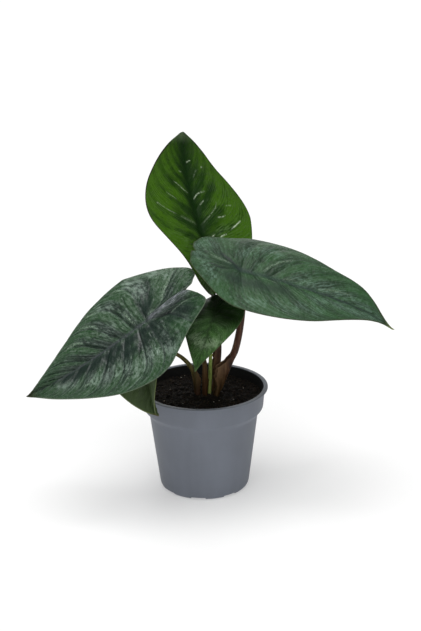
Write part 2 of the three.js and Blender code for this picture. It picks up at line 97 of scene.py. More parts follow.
# Petioles
STEM_FOOT = 78.0
SOIL_LINE = 93.0
NECK_LENGTH = 12.0
PETIOLE_RINGS = 220
PETIOLE_SIDES = 48

# Blades
KEEL_TAPER = 0.85
VEIN_FEET = (0.0, 0.105, 0.22, 0.345, 0.485, 0.6, 0.71, 0.81, 0.9, 1.0)
LOBE_VEIN_SPACING = 0.12
FAN_REACH = 0.3
VEIN_ARCH = 0.11
CREST_WIDTH = 2.6
CREST_START = 0.06
MARGIN_WAVES = 7.3
COLUMN_CROWDING = 1.12
NOISE_CELLS = 61

# Relief between two lateral veins: ribs in a gap, and for the rest the number in a gap
# and the length of each outwards. The shift gives the leaf's right half its own noise.
RIBS_PER_GAP = 4
DOMES = (4.3, 4.4)
FINE_DOMES = (9.1, 2.3)
PUCKERS = (2.9, 7.0)
RIGHT_HALF_SHIFT = 23.0

# Blade outline from the basal notch to the tip: where each lateral vein leaves the
# midrib and meets the margin, in blade lengths, and how far out, in half widths
VEIN_ROWS = [
    (-0.345, -0.345, 0.0),
    (-0.3, -0.39, 0.1),
    (-0.24, -0.41, 0.29),
    (-0.165, -0.375, 0.6),
    (-0.08, -0.245, 0.86),
    (0.0, -0.03, 0.99),
    (0.08, 0.16, 0.985),
    (0.19, 0.38, 0.84),
    (0.37, 0.61, 0.555),
    (0.59, 0.81, 0.265),
    (0.81, 0.935, 0.075),
    (1.0, 1.0, 0.0),
]

# Leaves: a pair is for the leaf's left half and then its right, but for the valley's. The
# blade's place, size and bend are as in the model:
# junction, heading, pitch, roll: where the petiole joins it and how it is turned
# length, half_width: from junction to tip, and at the widest place
# notch, lobes, corner, shoulder, lobe_bow: form of the joined lobes behind the junction
# droop, curl, lobe_droop, sickle: bend of the midrib down and sideways
# fold, cup, tip_fold, lobe_fold: angle of each half, and how it changes outwards and along
# width, full, forward: width at five places of the midrib, and form of the margin
# The rest is fine relief in millimetres, and the vein pattern:
# quilt, pucker, net, ribbing: pillows, puckers, small domes and ribs between the veins
# crest, groove, valley, wave: height of the rib over the lobes, depth of the veins,
# depth and width of the midrib's valley, and waves of the margin
# lean, sweep, stagger: slant of the petiole's end, slant of the veins, and how far the
# left half's veins are set off from the right half's
# rows, columns: rows of its mesh, and columns of each half
LEAVES = {
    "left": dict(
        junction=(-49.0, -54.0, 182.5), length=129.0, half_width=51.0,
        notch=1.0, lobes=(0.9, 1.1), corner=(0.1, 0.0),
        shoulder=(-0.15, 0.0), lobe_bow=0.08,
        heading=183.5, pitch=-36.5, roll=-44.0, droop=4.0, curl=-18.5,
        lobe_droop=-21.0, sickle=-0.06, fold=(12.0, 12.5), cup=(-9.0, -27.0),
        width=((1.1, 1.1, 1.1, 1.2, 1.3), (0.95, 0.95, 0.9, 0.8, 0.7)),
        tip_fold=-12.0, lobe_fold=(30.0, -80.0), full=1.1, forward=0.0,
        quilt=(1.3, 2.6), crest=2.4, wave=0.5, lean=0.3,
        ribbing=(0.15, 0.5), net=0.45, pucker=1.6, groove=0.8, valley=(1.2, 5.0),
        sweep=0.0, stagger=0.03, rows=290, columns=66,
    ),
    "right": dict(
        junction=(35.5, -25.0, 220.0), length=154.0, half_width=48.5,
        notch=0.8, lobes=(0.75, 0.65), corner=(0.0, 0.07),
        shoulder=(-0.15, 0.05), lobe_bow=0.4,
        heading=-3.0, pitch=-15.5, roll=26.5, droop=9.0, curl=22.0,
        lobe_droop=-14.0, sickle=0.01, fold=(11.0, 14.5), cup=(-39.0, -33.0),
        width=((1.1, 0.94, 1.2, 0.78, 0.4), (0.97, 1.06, 0.95, 0.62, 0.35)),
        tip_fold=8.5, lobe_fold=(-42.0, 26.0), full=0.95, forward=0.07,
        quilt=(0.8, 0.8), crest=0.6, wave=0.4, lean=-0.1,
        ribbing=(0.08, 0.05), net=0.12, pucker=0.5, groove=0.25, valley=(2.4, 11.0),
        sweep=0.0, stagger=0.05, rows=290, columns=66,
    ),
    "top": dict(
        junction=(6.0, 28.5, 220.0), length=116.5, half_width=53.0,
        notch=1.0, lobes=(1.05, 0.85), corner=(0.0, 0.0),
        shoulder=(-0.15, -0.1), lobe_bow=0.3,
        heading=119.5, pitch=53.5, roll=14.0, droop=-2.5, curl=-26.5,
        lobe_droop=24.0, sickle=-0.03, fold=(23.0, 18.0), cup=(-20.0, -8.5),
        width=((1.13, 1.04, 1.03, 1.13, 1.45), (1.16, 0.99, 1.02, 1.0, 1.1)),
        tip_fold=-25.0, lobe_fold=(23.5, 0.0), full=1.25, forward=0.25,
        quilt=(1.1, 1.1), crest=0.4, wave=0.4, lean=1.3,
        ribbing=(0.15, 0.1), net=0.16, pucker=0.4, groove=-0.3, valley=(1.0, 6.0),
        sweep=0.14, stagger=0.04, rows=280, columns=78,
    ),
    "front": dict(
        junction=(12.0, -41.5, 186.0), length=73.5, half_width=26.5,
        notch=1.0, lobes=(0.9, 1.0), corner=(0.0, 0.0),
        shoulder=(-0.1, -0.05), lobe_bow=0.15,
        heading=254.0, pitch=-24.5, roll=3.0, droop=8.5, curl=-8.0,
        lobe_droop=45.0, sickle=-0.01, fold=(9.0, 7.0), cup=(-27.0, -31.0),
        width=((1.0, 1.0, 1.0, 1.0, 1.0), (1.05, 1.0, 1.0, 1.0, 0.95)),
        tip_fold=2.5, lobe_fold=(0.0, -40.0), full=0.95, forward=-0.04,
        quilt=(0.7, 0.7), crest=0.5, wave=0.3, lean=0.0,
        ribbing=(0.12, 0.12), net=0.15, pucker=0.4, groove=0.3, valley=(0.6, 3.0),
        sweep=0.0, stagger=0.04, rows=180, columns=44,
    ),
    "low": dict(
        junction=(-53.0, -43.0, 150.0), length=62.5, half_width=34.5,
        notch=1.0, lobes=(1.0, 1.0), corner=(0.0, 0.0),
        shoulder=(0.0, 0.0), lobe_bow=0.0,
        heading=287.5, pitch=-69.5, roll=43.0, droop=18.5, curl=10.0,
        lobe_droop=20.0, sickle=0.01, fold=(54.0, 23.5), cup=(-31.0, -25.0),
        width=((1.0, 1.0, 1.0, 1.0, 1.0), (1.05, 1.05, 1.05, 1.05, 1.05)),
        tip_fold=19.0, lobe_fold=(0.0, 0.0), full=1.15, forward=0.09,
        quilt=(0.7, 0.7), crest=0.4, wave=0.3, lean=-0.2,
        ribbing=(0.08, 0.08), net=0.12, pucker=0.3, groove=0.2, valley=(0.4, 3.0),
        sweep=0.0, stagger=0.04, rows=170, columns=44,
    ),
}

# Strokes that each leaf has of its own: pale ridges with painted glints on them, dark
# creases, broad painted sheens and painted shades. Each is its kind, strength, width and
# the places it runs through, and a place is the distance from the junction towards the
# tip and from the midrib to the left.
STROKES = {
    "left": [
        ("pale", 1.0, 1.0, (10, -3), (12, -8), (13, -14), (14, -20)),
        ("pale", 0.7, 0.9, (-3, -3), (-12, -4), (-22, -9), (-30, -20), (-38, -30)),
        ("pale", 0.8, 1.0, (49, -40), (41, -38), (34, -37)),
        ("pale", 0.7, 1.0, (58, -33), (50, -30), (42, -24)),
        ("pale", 0.8, 1.0, (79, -22), (73, -23), (66, -22), (60, -18)),
        ("pale", 0.6, 1.2, (18, -44), (10, -43), (3, -39)),
        ("pale", 0.6, 0.8, (80, 20), (73, 20), (66, 17)),
        ("pale", 0.6, 0.8, (44, 40), (37, 38)),
        ("pale", 0.6, 0.8, (-23, 10), (-35, 9), (-50, 11)),
        ("dark", 1.0, 1.2, (10, 6), (15, 16), (22, 30)),
        ("dark", 0.8, 1.1, (47, 8), (51, 14), (56, 21), (61, 27)),
        ("dark", 1.0, 2.4, (-6, 6), (-20, 8), (-34, 9), (-46, 9)),
        ("dark", 0.7, 1.0, (-6, 0), (-17, -3), (-32, -5), (-43, -5)),
        ("sheen", 1.0, 8.0, (-2, -40), (-8, -28)),
        ("sheen", 1.0, 5.0, (32, -38), (23, -33)),
        ("sheen", 0.7, 5.0, (-22, -40), (-36, -32)),
        ("sheen", 0.8, 7.0, (30, 40), (10, 33), (-10, 42)),
        ("sheen", 0.8, 4.0, (-33, 26), (-36, 33)),
        ("sheen", 1.0, 4.0, (98, 7), (84, 12)),
        ("sheen", 0.8, 6.0, (71, 20), (55, 25), (35, 30)),
        ("sheen", 0.5, 6.0, (38, -14), (24, -16)),
        ("shade", 1.0, 7.0, (-2, 9), (30, 8), (60, 6), (92, 3)),
        ("shade", 0.9, 7.0, (0, 18), (22, 18), (44, 12)),
        ("shade", 0.8, 7.0, (-6, -10), (-13, -18)),
        ("shade", 0.75, 8.0, (-20, 15), (-42, 20)),
    ],
    "right": [
        ("dark", 1.0, 1.5, (-22, 11), (-12, 7), (-1, 0)),
        ("dark", 0.6, 1.2, (-32, -9), (-18, -9), (-4, -6)),
        ("dark", 0.45, 0.8, (45, -1), (75, 0), (105, 0), (132, 0)),
        ("dark", 0.5, 1.0, (3, 4), (6, 13), (10, 22)),
        ("pale", 0.8, 1.2, (-30, 4), (-20, 3), (-9, 2)),
        ("pale", 0.8, 0.9, (20, 4), (25, 11), (33, 19), (47, 28)),
        ("pale", 0.5, 0.8, (15, -3), (28, -5), (38, -7)),
        ("pale", 0.5, 0.8, (38, 2), (51, 5)),
        ("sheen", 0.8, 5.0, (14, -37), (24, -38)),
        ("sheen", 0.7, 5.0, (38, -34), (45, -38)),
        ("sheen", 0.7, 7.0, (52, 6), (78, 6), (98, 6)),
        ("sheen", 0.7, 9.0, (70, -14), (95, -9)),
        ("sheen", 1.0, 9.0, (94, -10), (115, -8), (136, -3)),
        ("sheen", 0.8, 5.0, (100, 7), (134, 2)),
        ("sheen", 0.6, 7.0, (40, -36), (75, -28)),
        ("sheen", 0.7, 6.0, (-2, 18), (12, 30), (30, 32)),
        ("pale", 0.5, 0.8, (70, 3), (90, 8), (104, 9)),
        ("sheen", 0.8, 8.0, (-40, -4), (-24, -24)),
        ("sheen", 0.8, 7.0, (-42, 10), (-32, 22)),
        ("shade", 0.9, 8.0, (-10, -16), (12, -19), (40, -17)),
        ("shade", 0.7, 4.0, (-13, 3), (5, -1)),
    ],
    "top": [
        ("pale", 0.9, 0.45, (88, -2), (90, -8)),
        ("pale", 0.7, 0.45, (83, -19), (83, -22)),
        ("pale", 0.25, 0.45, (73, -7), (81, -13)),
        ("pale", 0.9, 0.45, (52, -2), (56, -6), (58, -11), (59, -17)),
        ("pale", 0.7, 0.45, (46, -7), (50, -13)),
        ("pale", 0.3, 0.45, (28, -5), (34, -14), (41, -23), (48, -27)),
        ("pale", 0.9, 0.45, (31, -21), (31, -26), (32, -31)),
        ("pale", 0.4, 0.45, (42, -35), (42, -42)),
        ("pale", 1.0, 0.5, (13, -9), (15, -13)),
        ("pale", 1.0, 0.5, (10, -15), (12, -19), (13, -25)),
        ("pale", 1.0, 0.5, (17, -31), (20, -37), (25, -46)),
        ("pale", 0.4, 0.45, (58, 3), (62, 9), (68, 15), (71, 19)),
        ("pale", 0.35, 0.45, (52, 21), (60, 31)),
        ("pale", 0.35, 0.5, (37, 28), (41, 35), (49, 45)),
        ("pale", 0.7, 0.5, (38, 30), (40, 33)),
        ("pale", 0.6, 0.5, (48, 43), (50, 46)),
        ("pale", 0.5, 0.5, (80, 10), (79, 6)),
        ("pale", 0.15, 1.2, (35, 24), (31, 15), (27, 5)),
        ("sheen", 0.9, 4.0, (16, -17), (20, -25)),
        ("sheen", 0.5, 6.0, (18, 34), (4, 28)),
        ("shade", 1.0, 9.0, (-5, 0), (20, 1), (60, 0), (106, 0)),
        ("shade", 0.5, 5.0, (20, -8), (34, -28)),
        ("shade", 0.5, 5.0, (40, -6), (60, -24)),
        ("shade", 0.5, 5.0, (24, 10), (40, 26)),
        ("shade", 0.4, 4.0, (60, 8), (72, 20)),
    ],
    "front": [
        ("shade", 1.0, 13.0, (-22, -8), (0, 2), (8, 14)),
        ("shade", 1.0, 9.0, (-8, -14), (6, -14)),
        ("sheen", 1.0, 7.0, (34, -12), (42, 0), (40, 10)),
        ("pale", 0.6, 0.7, (30, -12), (38, -10), (46, -6)),
        ("pale", 0.5, 0.7, (34, -5), (44, -2)),
    ],
    "low": [
        ("shade", 0.6, 8.0, (-4, 6), (20, 6)),
    ],
}

# Petioles: foot on the rootstock, route above the soil, girth (radius) from foot to
# blade, and the sheath's reach, height of its widest place, end and open direction
PETIOLES = {
    "left": dict(
        foot=(1.5, -8.0),
        route=((1.5, -8.5, 108), (1.5, -10.5, 124), (-2, -14.5, 139), (-8.5, -21, 152),
               (-19.5, -30, 163.5), (-31, -38.5, 171.5)),
        girth=(2.6, 2.5, 2.3, 2.3, 2.2, 2.1),
        reach=3.0, peak=104, end=118, open=(0.5, 0.85),
    ),
    "right": dict(
        foot=(12.0, -6.5),
        route=((15.5, -6.5, 101), (20.5, -6.5, 113.5), (25.5, -6, 126), (30, -6, 136),
               (34, -5.5, 154), (36.5, -5.5, 175), (36, -8.5, 194)),
        girth=(3.0, 3.3, 3.3, 3.3, 3.0, 2.5),
        reach=8.5, peak=114, end=132, open=(-0.95, -0.25),
    ),
    "top": dict(
        foot=(9.5, 3.0),
        route=((11.5, 3, 105), (14, 3.5, 120), (15, 5, 135), (14, 8, 152),
               (12, 12.5, 171), (9, 18.5, 190)),
        girth=(2.6, 2.7, 2.6, 2.4, 2.2, 2.0),
        reach=5.0, peak=122, end=146, open=(-0.95, -0.35),
    ),
    "front": dict(
        foot=(5.5, -3.5),
        route=((6.5, -5.5, 110), (7, -9.5, 128), (8, -17.5, 146), (10.5, -28, 163)),
        girth=(1.9, 1.8, 1.7, 1.6, 1.6, 1.6),
        reach=0.0, peak=104, end=112, open=(0.0, -1.0),
    ),
    "low": dict(
        foot=(-5.5, -5.0),
        route=((-6.5, -5.5, 102), (-9, -7.5, 115.5), (-13.5, -9.5, 124), (-20.5, -12, 132),
               (-29, -15.5, 138), (-38.5, -22, 142.5)),
        girth=(2.8, 3.0, 2.4, 1.8, 1.7, 1.6),
        reach=4.0, peak=108, end=121, open=(0.9, 0.45),
    ),
}

# Finishes: default colours as linear red, green and blue
LEAF_COLOURS = {
    "left": dict(
        blade=(0.006, 0.022, 0.012), light=(0.016, 0.062, 0.016), dust=(0.4, 0.52, 0.44),
        rib=(0.044, 0.054, 0.06), crest=(0.4, 0.43, 0.47), rim=(0.08, 0.12, 0.07),
        under=(0.06, 0.1, 0.05), shade=(0.007, 0.018, 0.013), keel=(0.15, 0.15, 0.09),
    ),
    "right": dict(
        blade=(0.01, 0.032, 0.011), light=(0.02, 0.074, 0.018), dust=(0.22, 0.35, 0.28),
        rib=(0.02, 0.04, 0.036), crest=(0.1, 0.16, 0.14), rim=(0.03, 0.05, 0.016),
        under=(0.07, 0.12, 0.05), shade=(0.01, 0.026, 0.016), keel=(0.16, 0.17, 0.09),
    ),
    "top": dict(
        blade=(0.009, 0.036, 0.001), light=(0.04, 0.108, 0.004), dust=(0.3, 0.36, 0.28),
        rib=(0.004, 0.019, 0.002), crest=(0.05, 0.1, 0.03), rim=(0.02, 0.016, 0.012),
        under=(0.06, 0.13, 0.03), shade=(0.003, 0.018, 0.001), keel=(0.12, 0.17, 0.05),
    ),
    "front": dict(
        blade=(0.014, 0.045, 0.008), light=(0.04, 0.11, 0.022), dust=(0.26, 0.36, 0.22),
        rib=(0.006, 0.014, 0.004), crest=(0.05, 0.08, 0.04), rim=(0.05, 0.09, 0.03),
        under=(0.06, 0.11, 0.03), shade=(0.004, 0.014, 0.001), keel=(0.14, 0.18, 0.06),
    ),
    "low": dict(
        blade=(0.02, 0.04, 0.007), light=(0.036, 0.07, 0.011), dust=(0.09, 0.12, 0.06),
        rib=(0.012, 0.02, 0.006), crest=(0.05, 0.08, 0.04), rim=(0.1, 0.13, 0.035),
        under=(0.05, 0.08, 0.02), shade=(0.01, 0.018, 0.005), keel=(0.13, 0.14, 0.05),
    ),
}

# Strength and size of each effect in a leaf's finish, and the colours of its strokes:
# lateral_width, rib_width, rim_width: of the lines, in vein gaps and then in millimetres
# fine_count: fine veins between two lateral veins
# margin, contrast, band: paler zone along the margin, outwards and between the veins
# dust, sheen: painted sheen all over and in patches
# hollow, shade: painted shade in the hollows and in the dark places
# roughness, gloss: of the surface
# net, streak, dapple: heights of its small relief
LEAF_LOOKS = {
    "left": dict(
        lateral_width=0.07, fine_count=3.6, rib_width=1.4, rim_width=0.6, margin=0.8, contrast=0.05,
        dust=0.13, fine=0.17, rib=0.7, crest=1.0, lateral=0.6, roughness=0.3, gloss=0.5, net=0.6,
        streak=0.9, shade=1.0, sheen=0.9, dark=0.95, pale=0.95, band=0.11, dapple=1.3, hollow=0.7,
        lateral_colour=(0.012, 0.022, 0.02), tip_colour=(0.06, 0.075, 0.03),
        dark_colour=(0.006, 0.011, 0.01), painted_glint_colour=(0.3, 0.42, 0.3),
    ),
    "right": dict(
        lateral_width=0.05, fine_count=5.0, rib_width=2.6, rim_width=0.7, margin=0.3, contrast=0.02,
        dust=0.12, fine=0.1, rib=0.5, crest=0.0, lateral=0.08, roughness=0.5, gloss=0.4, net=0.35,
        streak=0.4, shade=0.8, sheen=0.8, dark=0.75, pale=0.7, band=0.08, dapple=0.5, hollow=0.3,
        lateral_colour=(0.03, 0.05, 0.04), tip_colour=(0.2, 0.24, 0.07),
        dark_colour=(0.01, 0.014, 0.018), painted_glint_colour=(0.25, 0.34, 0.24),
    ),
    "top": dict(
        lateral_width=0.05, fine_count=8.0, rib_width=2.4, rim_width=0.6, margin=0.5, contrast=0.1,
        dust=0.02, fine=0.05, rib=0.7, crest=0.0, lateral=0.04, roughness=0.46, gloss=0.1, net=0.25,
        streak=0.7, shade=0.95, sheen=0.35, dark=0.7, pale=0.95, band=0.09, dapple=0.3, hollow=0.4,
        lateral_colour=(0.1, 0.18, 0.06), tip_colour=(0.08, 0.12, 0.06),
        dark_colour=(0.006, 0.02, 0.004), painted_glint_colour=(0.6, 0.72, 0.52),
    ),
    "front": dict(
        lateral_width=0.03, fine_count=6.0, rib_width=2.2, rim_width=0.5, margin=0.3, contrast=0.05,
        dust=0.12, fine=0.15, rib=0.35, crest=0.1, lateral=0.2, roughness=0.5, gloss=0.12, net=0.2,
        streak=0.6, shade=1.0, sheen=1.2, dark=0.7, pale=0.5, band=0.07, dapple=0.3, hollow=0.2,
        lateral_colour=(0.015, 0.03, 0.012), tip_colour=(0.12, 0.2, 0.07),
        dark_colour=(0.008, 0.014, 0.006), painted_glint_colour=(0.3, 0.4, 0.25),
    ),
    "low": dict(
        lateral_width=0.03, fine_count=6.0, rib_width=2.0, rim_width=0.6, margin=0.4, contrast=0.05,
        dust=0.06, fine=0.1, rib=0.3, crest=0.1, lateral=0.2, roughness=0.5, gloss=0.35, net=0.2,
        streak=0.3, shade=0.5, sheen=0.5, dark=0.7, pale=0.5, band=0.03, dapple=0.3, hollow=0.2,
        lateral_colour=(0.02, 0.03, 0.01), tip_colour=(0.1, 0.07, 0.02),
        dark_colour=(0.008, 0.014, 0.006), painted_glint_colour=(0.3, 0.4, 0.25),
    ),
}

PETIOLE_COLOURS = {
    "left": dict(
        skin=(0.075, 0.05, 0.012), foot=(0.06, 0.024, 0.007),
        edge=(0.14, 0.08, 0.03), streak=(0.02, 0.012, 0.005),
    ),
    "right": dict(
        skin=(0.055, 0.016, 0.006), foot=(0.05, 0.028, 0.007),
        edge=(0.2, 0.12, 0.06), streak=(0.014, 0.006, 0.003),
    ),
    "top": dict(
        skin=(0.034, 0.008, 0.005), foot=(0.05, 0.026, 0.008),
        edge=(0.16, 0.09, 0.045), streak=(0.01, 0.004, 0.003),
    ),
    "front": dict(
        skin=(0.22, 0.31, 0.07), foot=(0.3, 0.36, 0.1),
        edge=(0.3, 0.34, 0.14), streak=(0.13, 0.19, 0.04),
    ),
    "low": dict(
        skin=(0.1, 0.09, 0.02), foot=(0.05, 0.022, 0.012),
        edge=(0.14, 0.08, 0.04), streak=(0.03, 0.024, 0.007),
    ),
}
PETIOLE_SLOTS = {
    "left": "petiole_brown",
    "right": "petiole_brown",
    "top": "petiole_red_brown",
    "front": "petiole_pale_green",
    "low": "petiole_olive",
}
LEAF_SLOTS = {
    "left": "leaf_blue_green",
    "right": "leaf_grey_green",
    "top": "leaf_bright_green",
    "front": "leaf_mid_green",
    "low": "leaf_olive_green",
}


# Curves, noise and meshes
def spline(rows, where, mirrored=False):
    """Uniform Catmull-Rom curve through rows, at where from 0 to 1.

    Each stretch is the cubic whose end slopes are half the chord between the rows on
    either side. Past its ends the curve repeats its end row, or mirrors the next one.
    """
    rows = np.asarray(rows, float)
    before = 2 * rows[0] - rows[1] if mirrored else rows[0]
    after = 2 * rows[-1] - rows[-2] if mirrored else rows[-1]
    padded = np.vstack([before, rows, after])
    place = np.clip(where, 0, 1) * (len(rows) - 1)
    start = np.minimum(np.floor(place).astype(int), len(rows) - 2)
    w = (place - start)[..., None]
    p0, p1, p2, p3 = (padded[start + k] for k in range(4))
    out, back = (p2 - p0) / 2, (p3 - p1) / 2
    return ((2 * p1 - 2 * p2 + out + back) * w + (3 * p2 - 3 * p1 - 2 * out - back)) * w * w + out * w + p1


def lattice_noise(x, y, seed):
    """Smooth noise from 0 to 1: random values on a unit lattice, blended by smoothstep."""
    table = np.random.default_rng(seed).random((NOISE_CELLS, NOISE_CELLS))
    column, row = np.floor(x).astype(int), np.floor(y).astype(int)
    u, v = x - column, y - row
    u, v = u * u * (3 - 2 * u), v * v * (3 - 2 * v)
    left, right = column % NOISE_CELLS, (column + 1) % NOISE_CELLS
    low, high = row % NOISE_CELLS, (row + 1) % NOISE_CELLS
    near = table[left, low] * (1 - u) + table[right, low] * u
    far = table[left, high] * (1 - u) + table[right, high] * u
    return near * (1 - v) + far * v


def smooth(low, high, value):
    """Smoothstep: 0 below low, 1 above high, and a cubic without corners between."""
    t = np.clip((value - low) / (high - low), 0, 1)
    return t * t * (3 - 2 * t)


def bell(value, width):
    """A bell curve 1 high: e to the power of minus the square of value over width."""
    return np.exp(-((value / width) ** 2))


def ring_faces(rings, sides, offset):
    """Quads of a tube: each joins two neighbouring rings and two neighbouring sides."""
    i, j = np.meshgrid(np.arange(rings - 1), np.arange(sides), indexing="ij")
    k = (j + 1) % sides
    corners = (i * sides + j, i * sides + k, (i + 1) * sides + k, (i + 1) * sides + j)
    return np.stack(corners, -1).reshape(-1, 4) + offset


def fan_faces(pole, first, sides, turned=False):
    """Triangles that join a ring of vertices to one pole. Turned, they face the other way."""
    j = np.arange(sides)
    k = (j + 1) % sides
    a, b = (k, j) if turned else (j, k)
    return np.stack([np.full(sides, pole), first + a, first + b], -1)


def tube_mesh(name, rings, start, end):
    """Mesh of a closed tube: rings of points (metres) joined in order, with a pole at each end."""
    count, sides = rings.shape[:2]
    points = np.vstack([[start], rings.reshape(-1, 3), [end]])
    quads = ring_faces(count, sides, 1)
    last = 1 + (count - 1) * sides
    fans = np.vstack([fan_faces(0, 1, sides, turned=True), fan_faces(len(points) - 1, last, sides)])
    return solid_mesh(name, points, quads, fans)


def solid_mesh(name, points, quads, triangles):
    """Mesh from arrays of points (metres), four-sided faces and three-sided faces."""
    mesh = bpy.data.meshes.new(name)
    mesh.vertices.add(len(points))
    mesh.vertices.foreach_set("co", np.asarray(points, np.float32).ravel())
    loops = np.concatenate([np.asarray(quads).ravel(), np.asarray(triangles).ravel()])
    starts = np.concatenate([
        np.arange(len(quads)) * 4,
        len(quads) * 4 + np.arange(len(triangles)) * 3,
    ])
    mesh.loops.add(len(loops))
    mesh.loops.foreach_set("vertex_index", loops.astype(np.int32))
    mesh.polygons.add(len(starts))
    mesh.polygons.foreach_set("loop_start", starts.astype(np.int32))
    mesh.update(calc_edges=True)
    mesh.validate()
    mesh.polygons.foreach_set("use_smooth", np.ones(len(mesh.polygons), bool))
    return mesh


def mark(mesh, **values):
    """Stores one number for each vertex under each name, for the finishes to read."""
    for name, value in values.items():
        store = mesh.attributes.new(name, "FLOAT", "POINT")
        store.data.foreach_set("value", np.asarray(value, np.float32).ravel())


def add_piece(name, mesh, slot, nodes, *materials):
    """Links the mesh as a piece that rides on the root and stands for those nodes."""
    piece = bpy.data.objects.new(name, mesh)
    bpy.context.scene.collection.objects.link(piece)
    for material in materials:
        mesh.materials.append(material)
    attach(piece, "root")
    if nodes:
        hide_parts(*nodes)
    return piece


# Node trees
class Shading:
    """Adds nodes to one tree. A value for an input is a number, a colour or a socket."""

    def __init__(self, tree):
        self.tree = tree

    def put(self, socket, value):
        """Links a socket to the input, or sets the input's own value."""
        if isinstance(value, bpy.types.NodeSocket):
            self.tree.links.new(value, socket)
        elif socket.type == "RGBA":
            socket.default_value = (*value[:3], 1)
        else:
            socket.default_value = value

    def add(self, kind, inputs, **settings):
        """New node of that kind with these inputs and settings."""
        node = self.tree.nodes.new(kind)
        for name, value in settings.items():
            setattr(node, name, value)
        for name, value in inputs.items():
            self.put(node.inputs[name], value)
        return node

    def math(self, operation, *values):
        """Number that the operation makes of the values."""
        return self.add("ShaderNodeMath", dict(enumerate(values)), operation=operation).outputs[0]

    def plus(self, first, *others):
        for other in others:
            first = self.math("ADD", first, other)
        return first

    def minus(self, first, second):
        return self.math("SUBTRACT", first, second)

    def times(self, first, *others):
        for other in others:
            first = self.math("MULTIPLY", first, other)
        return first

    def largest(self, first, second):
        return self.math("MAXIMUM", first, second)

    def mix(self, factor, first, second):
        """Colour from first to second."""
        node = self.add("ShaderNodeMix", {0: factor, 6: first, 7: second}, data_type="RGBA")
        return node.outputs[2]

    def coats(self, colour, *coats):
        """Colour under coats of (mask, colour), each laid over those before it."""
        for mask, coat in coats:
            colour = self.mix(mask, colour, coat)
        return colour

    def blend(self, factor, first, second):
        """Number from first to second."""
        node = self.add("ShaderNodeMix", {0: factor, 2: first, 3: second}, data_type="FLOAT")
        return node.outputs[0]

    def spread(self, value, low, high, start=0.0, end=1.0):
        """From start to end, smoothly, as the value goes from low to high."""
        inputs = {0: value, 1: low, 2: high, 3: start, 4: end}
        node = self.add("ShaderNodeMapRange", inputs, interpolation_type="SMOOTHSTEP")
        return node.outputs[0]

    def attribute(self, name):
        """Number stored on the mesh under that name."""
        return self.add("ShaderNodeAttribute", {}, attribute_name=name).outputs["Fac"]

    def position(self):
        """Place in the piece's own frame, in metres."""
        return self.add("ShaderNodeTexCoord", {}).outputs["Object"]

    def vector(self, x, y, z):
        return self.add("ShaderNodeCombineXYZ", {0: x, 1: y, 2: z}).outputs[0]

    def stretch(self, vector, scale):
        """The vector times a scale along each axis."""
        return self.add("ShaderNodeMapping", {"Vector": vector, "Scale": scale}).outputs[0]

    def noise(self, vector, scale, detail=2.0, roughness=0.5, distortion=0.0):
        """Smooth noise from 0 to 1, finer with a larger scale."""
        inputs = {
            "Vector": vector, "Scale": scale, "Detail": detail,
            "Roughness": roughness, "Distortion": distortion,
        }
        return self.add("ShaderNodeTexNoise", inputs).outputs[0]

    def cells(self, vector, scale):
        """Distance to the nearest of many scattered points, without creases."""
        inputs = {"Vector": vector, "Scale": scale}
        return self.add("ShaderNodeTexVoronoi", inputs, feature="SMOOTH_F1").outputs["Distance"]

    def bump(self, height, strength, distance):
        """Normal of a surface raised by the height times the distance."""
        inputs = {"Height": height, "Strength": strength, "Distance": distance}
        return self.add("ShaderNodeBump", inputs).outputs[0]

    def group(self, tree, inputs):
        """Outputs of a node group with these inputs."""
        node = self.tree.nodes.new("ShaderNodeGroup")
        node.node_tree = tree
        for name, value in inputs.items():
            self.put(node.inputs[name], value)
        return node.outputs

    def finish(self, inputs):
        """Surface shader with these inputs, as the material's output."""
        shader = self.add("ShaderNodeBsdfPrincipled", {"IOR": 1.45, **inputs})
        self.add("ShaderNodeOutputMaterial", {"Surface": shader.outputs[0]})


def new_material(name):
    """Empty material, and the Shading that fills it."""
    material = bpy.data.materials.new(name)
    material.use_nodes = True
    material.node_tree.nodes.clear()
    return material, Shading(material.node_tree)


def new_group(name, inputs, outputs):
    """Node group with these inputs (name to default value) and outputs, all numbers."""
    tree = bpy.data.node_groups.new(name, "ShaderNodeTree")
    for label, value in inputs.items():
        tree.interface.new_socket(label, in_out="INPUT", socket_type="NodeSocketFloat")
        tree.interface.items_tree[-1].default_value = value
    for label in outputs:
        tree.interface.new_socket(label, in_out="OUTPUT", socket_type="NodeSocketFloat")
    shading = Shading(tree)
    entry = tree.nodes.new("NodeGroupInput")
    leave = tree.nodes.new("NodeGroupOutput")
    return tree, shading, entry.outputs, leave.inputs


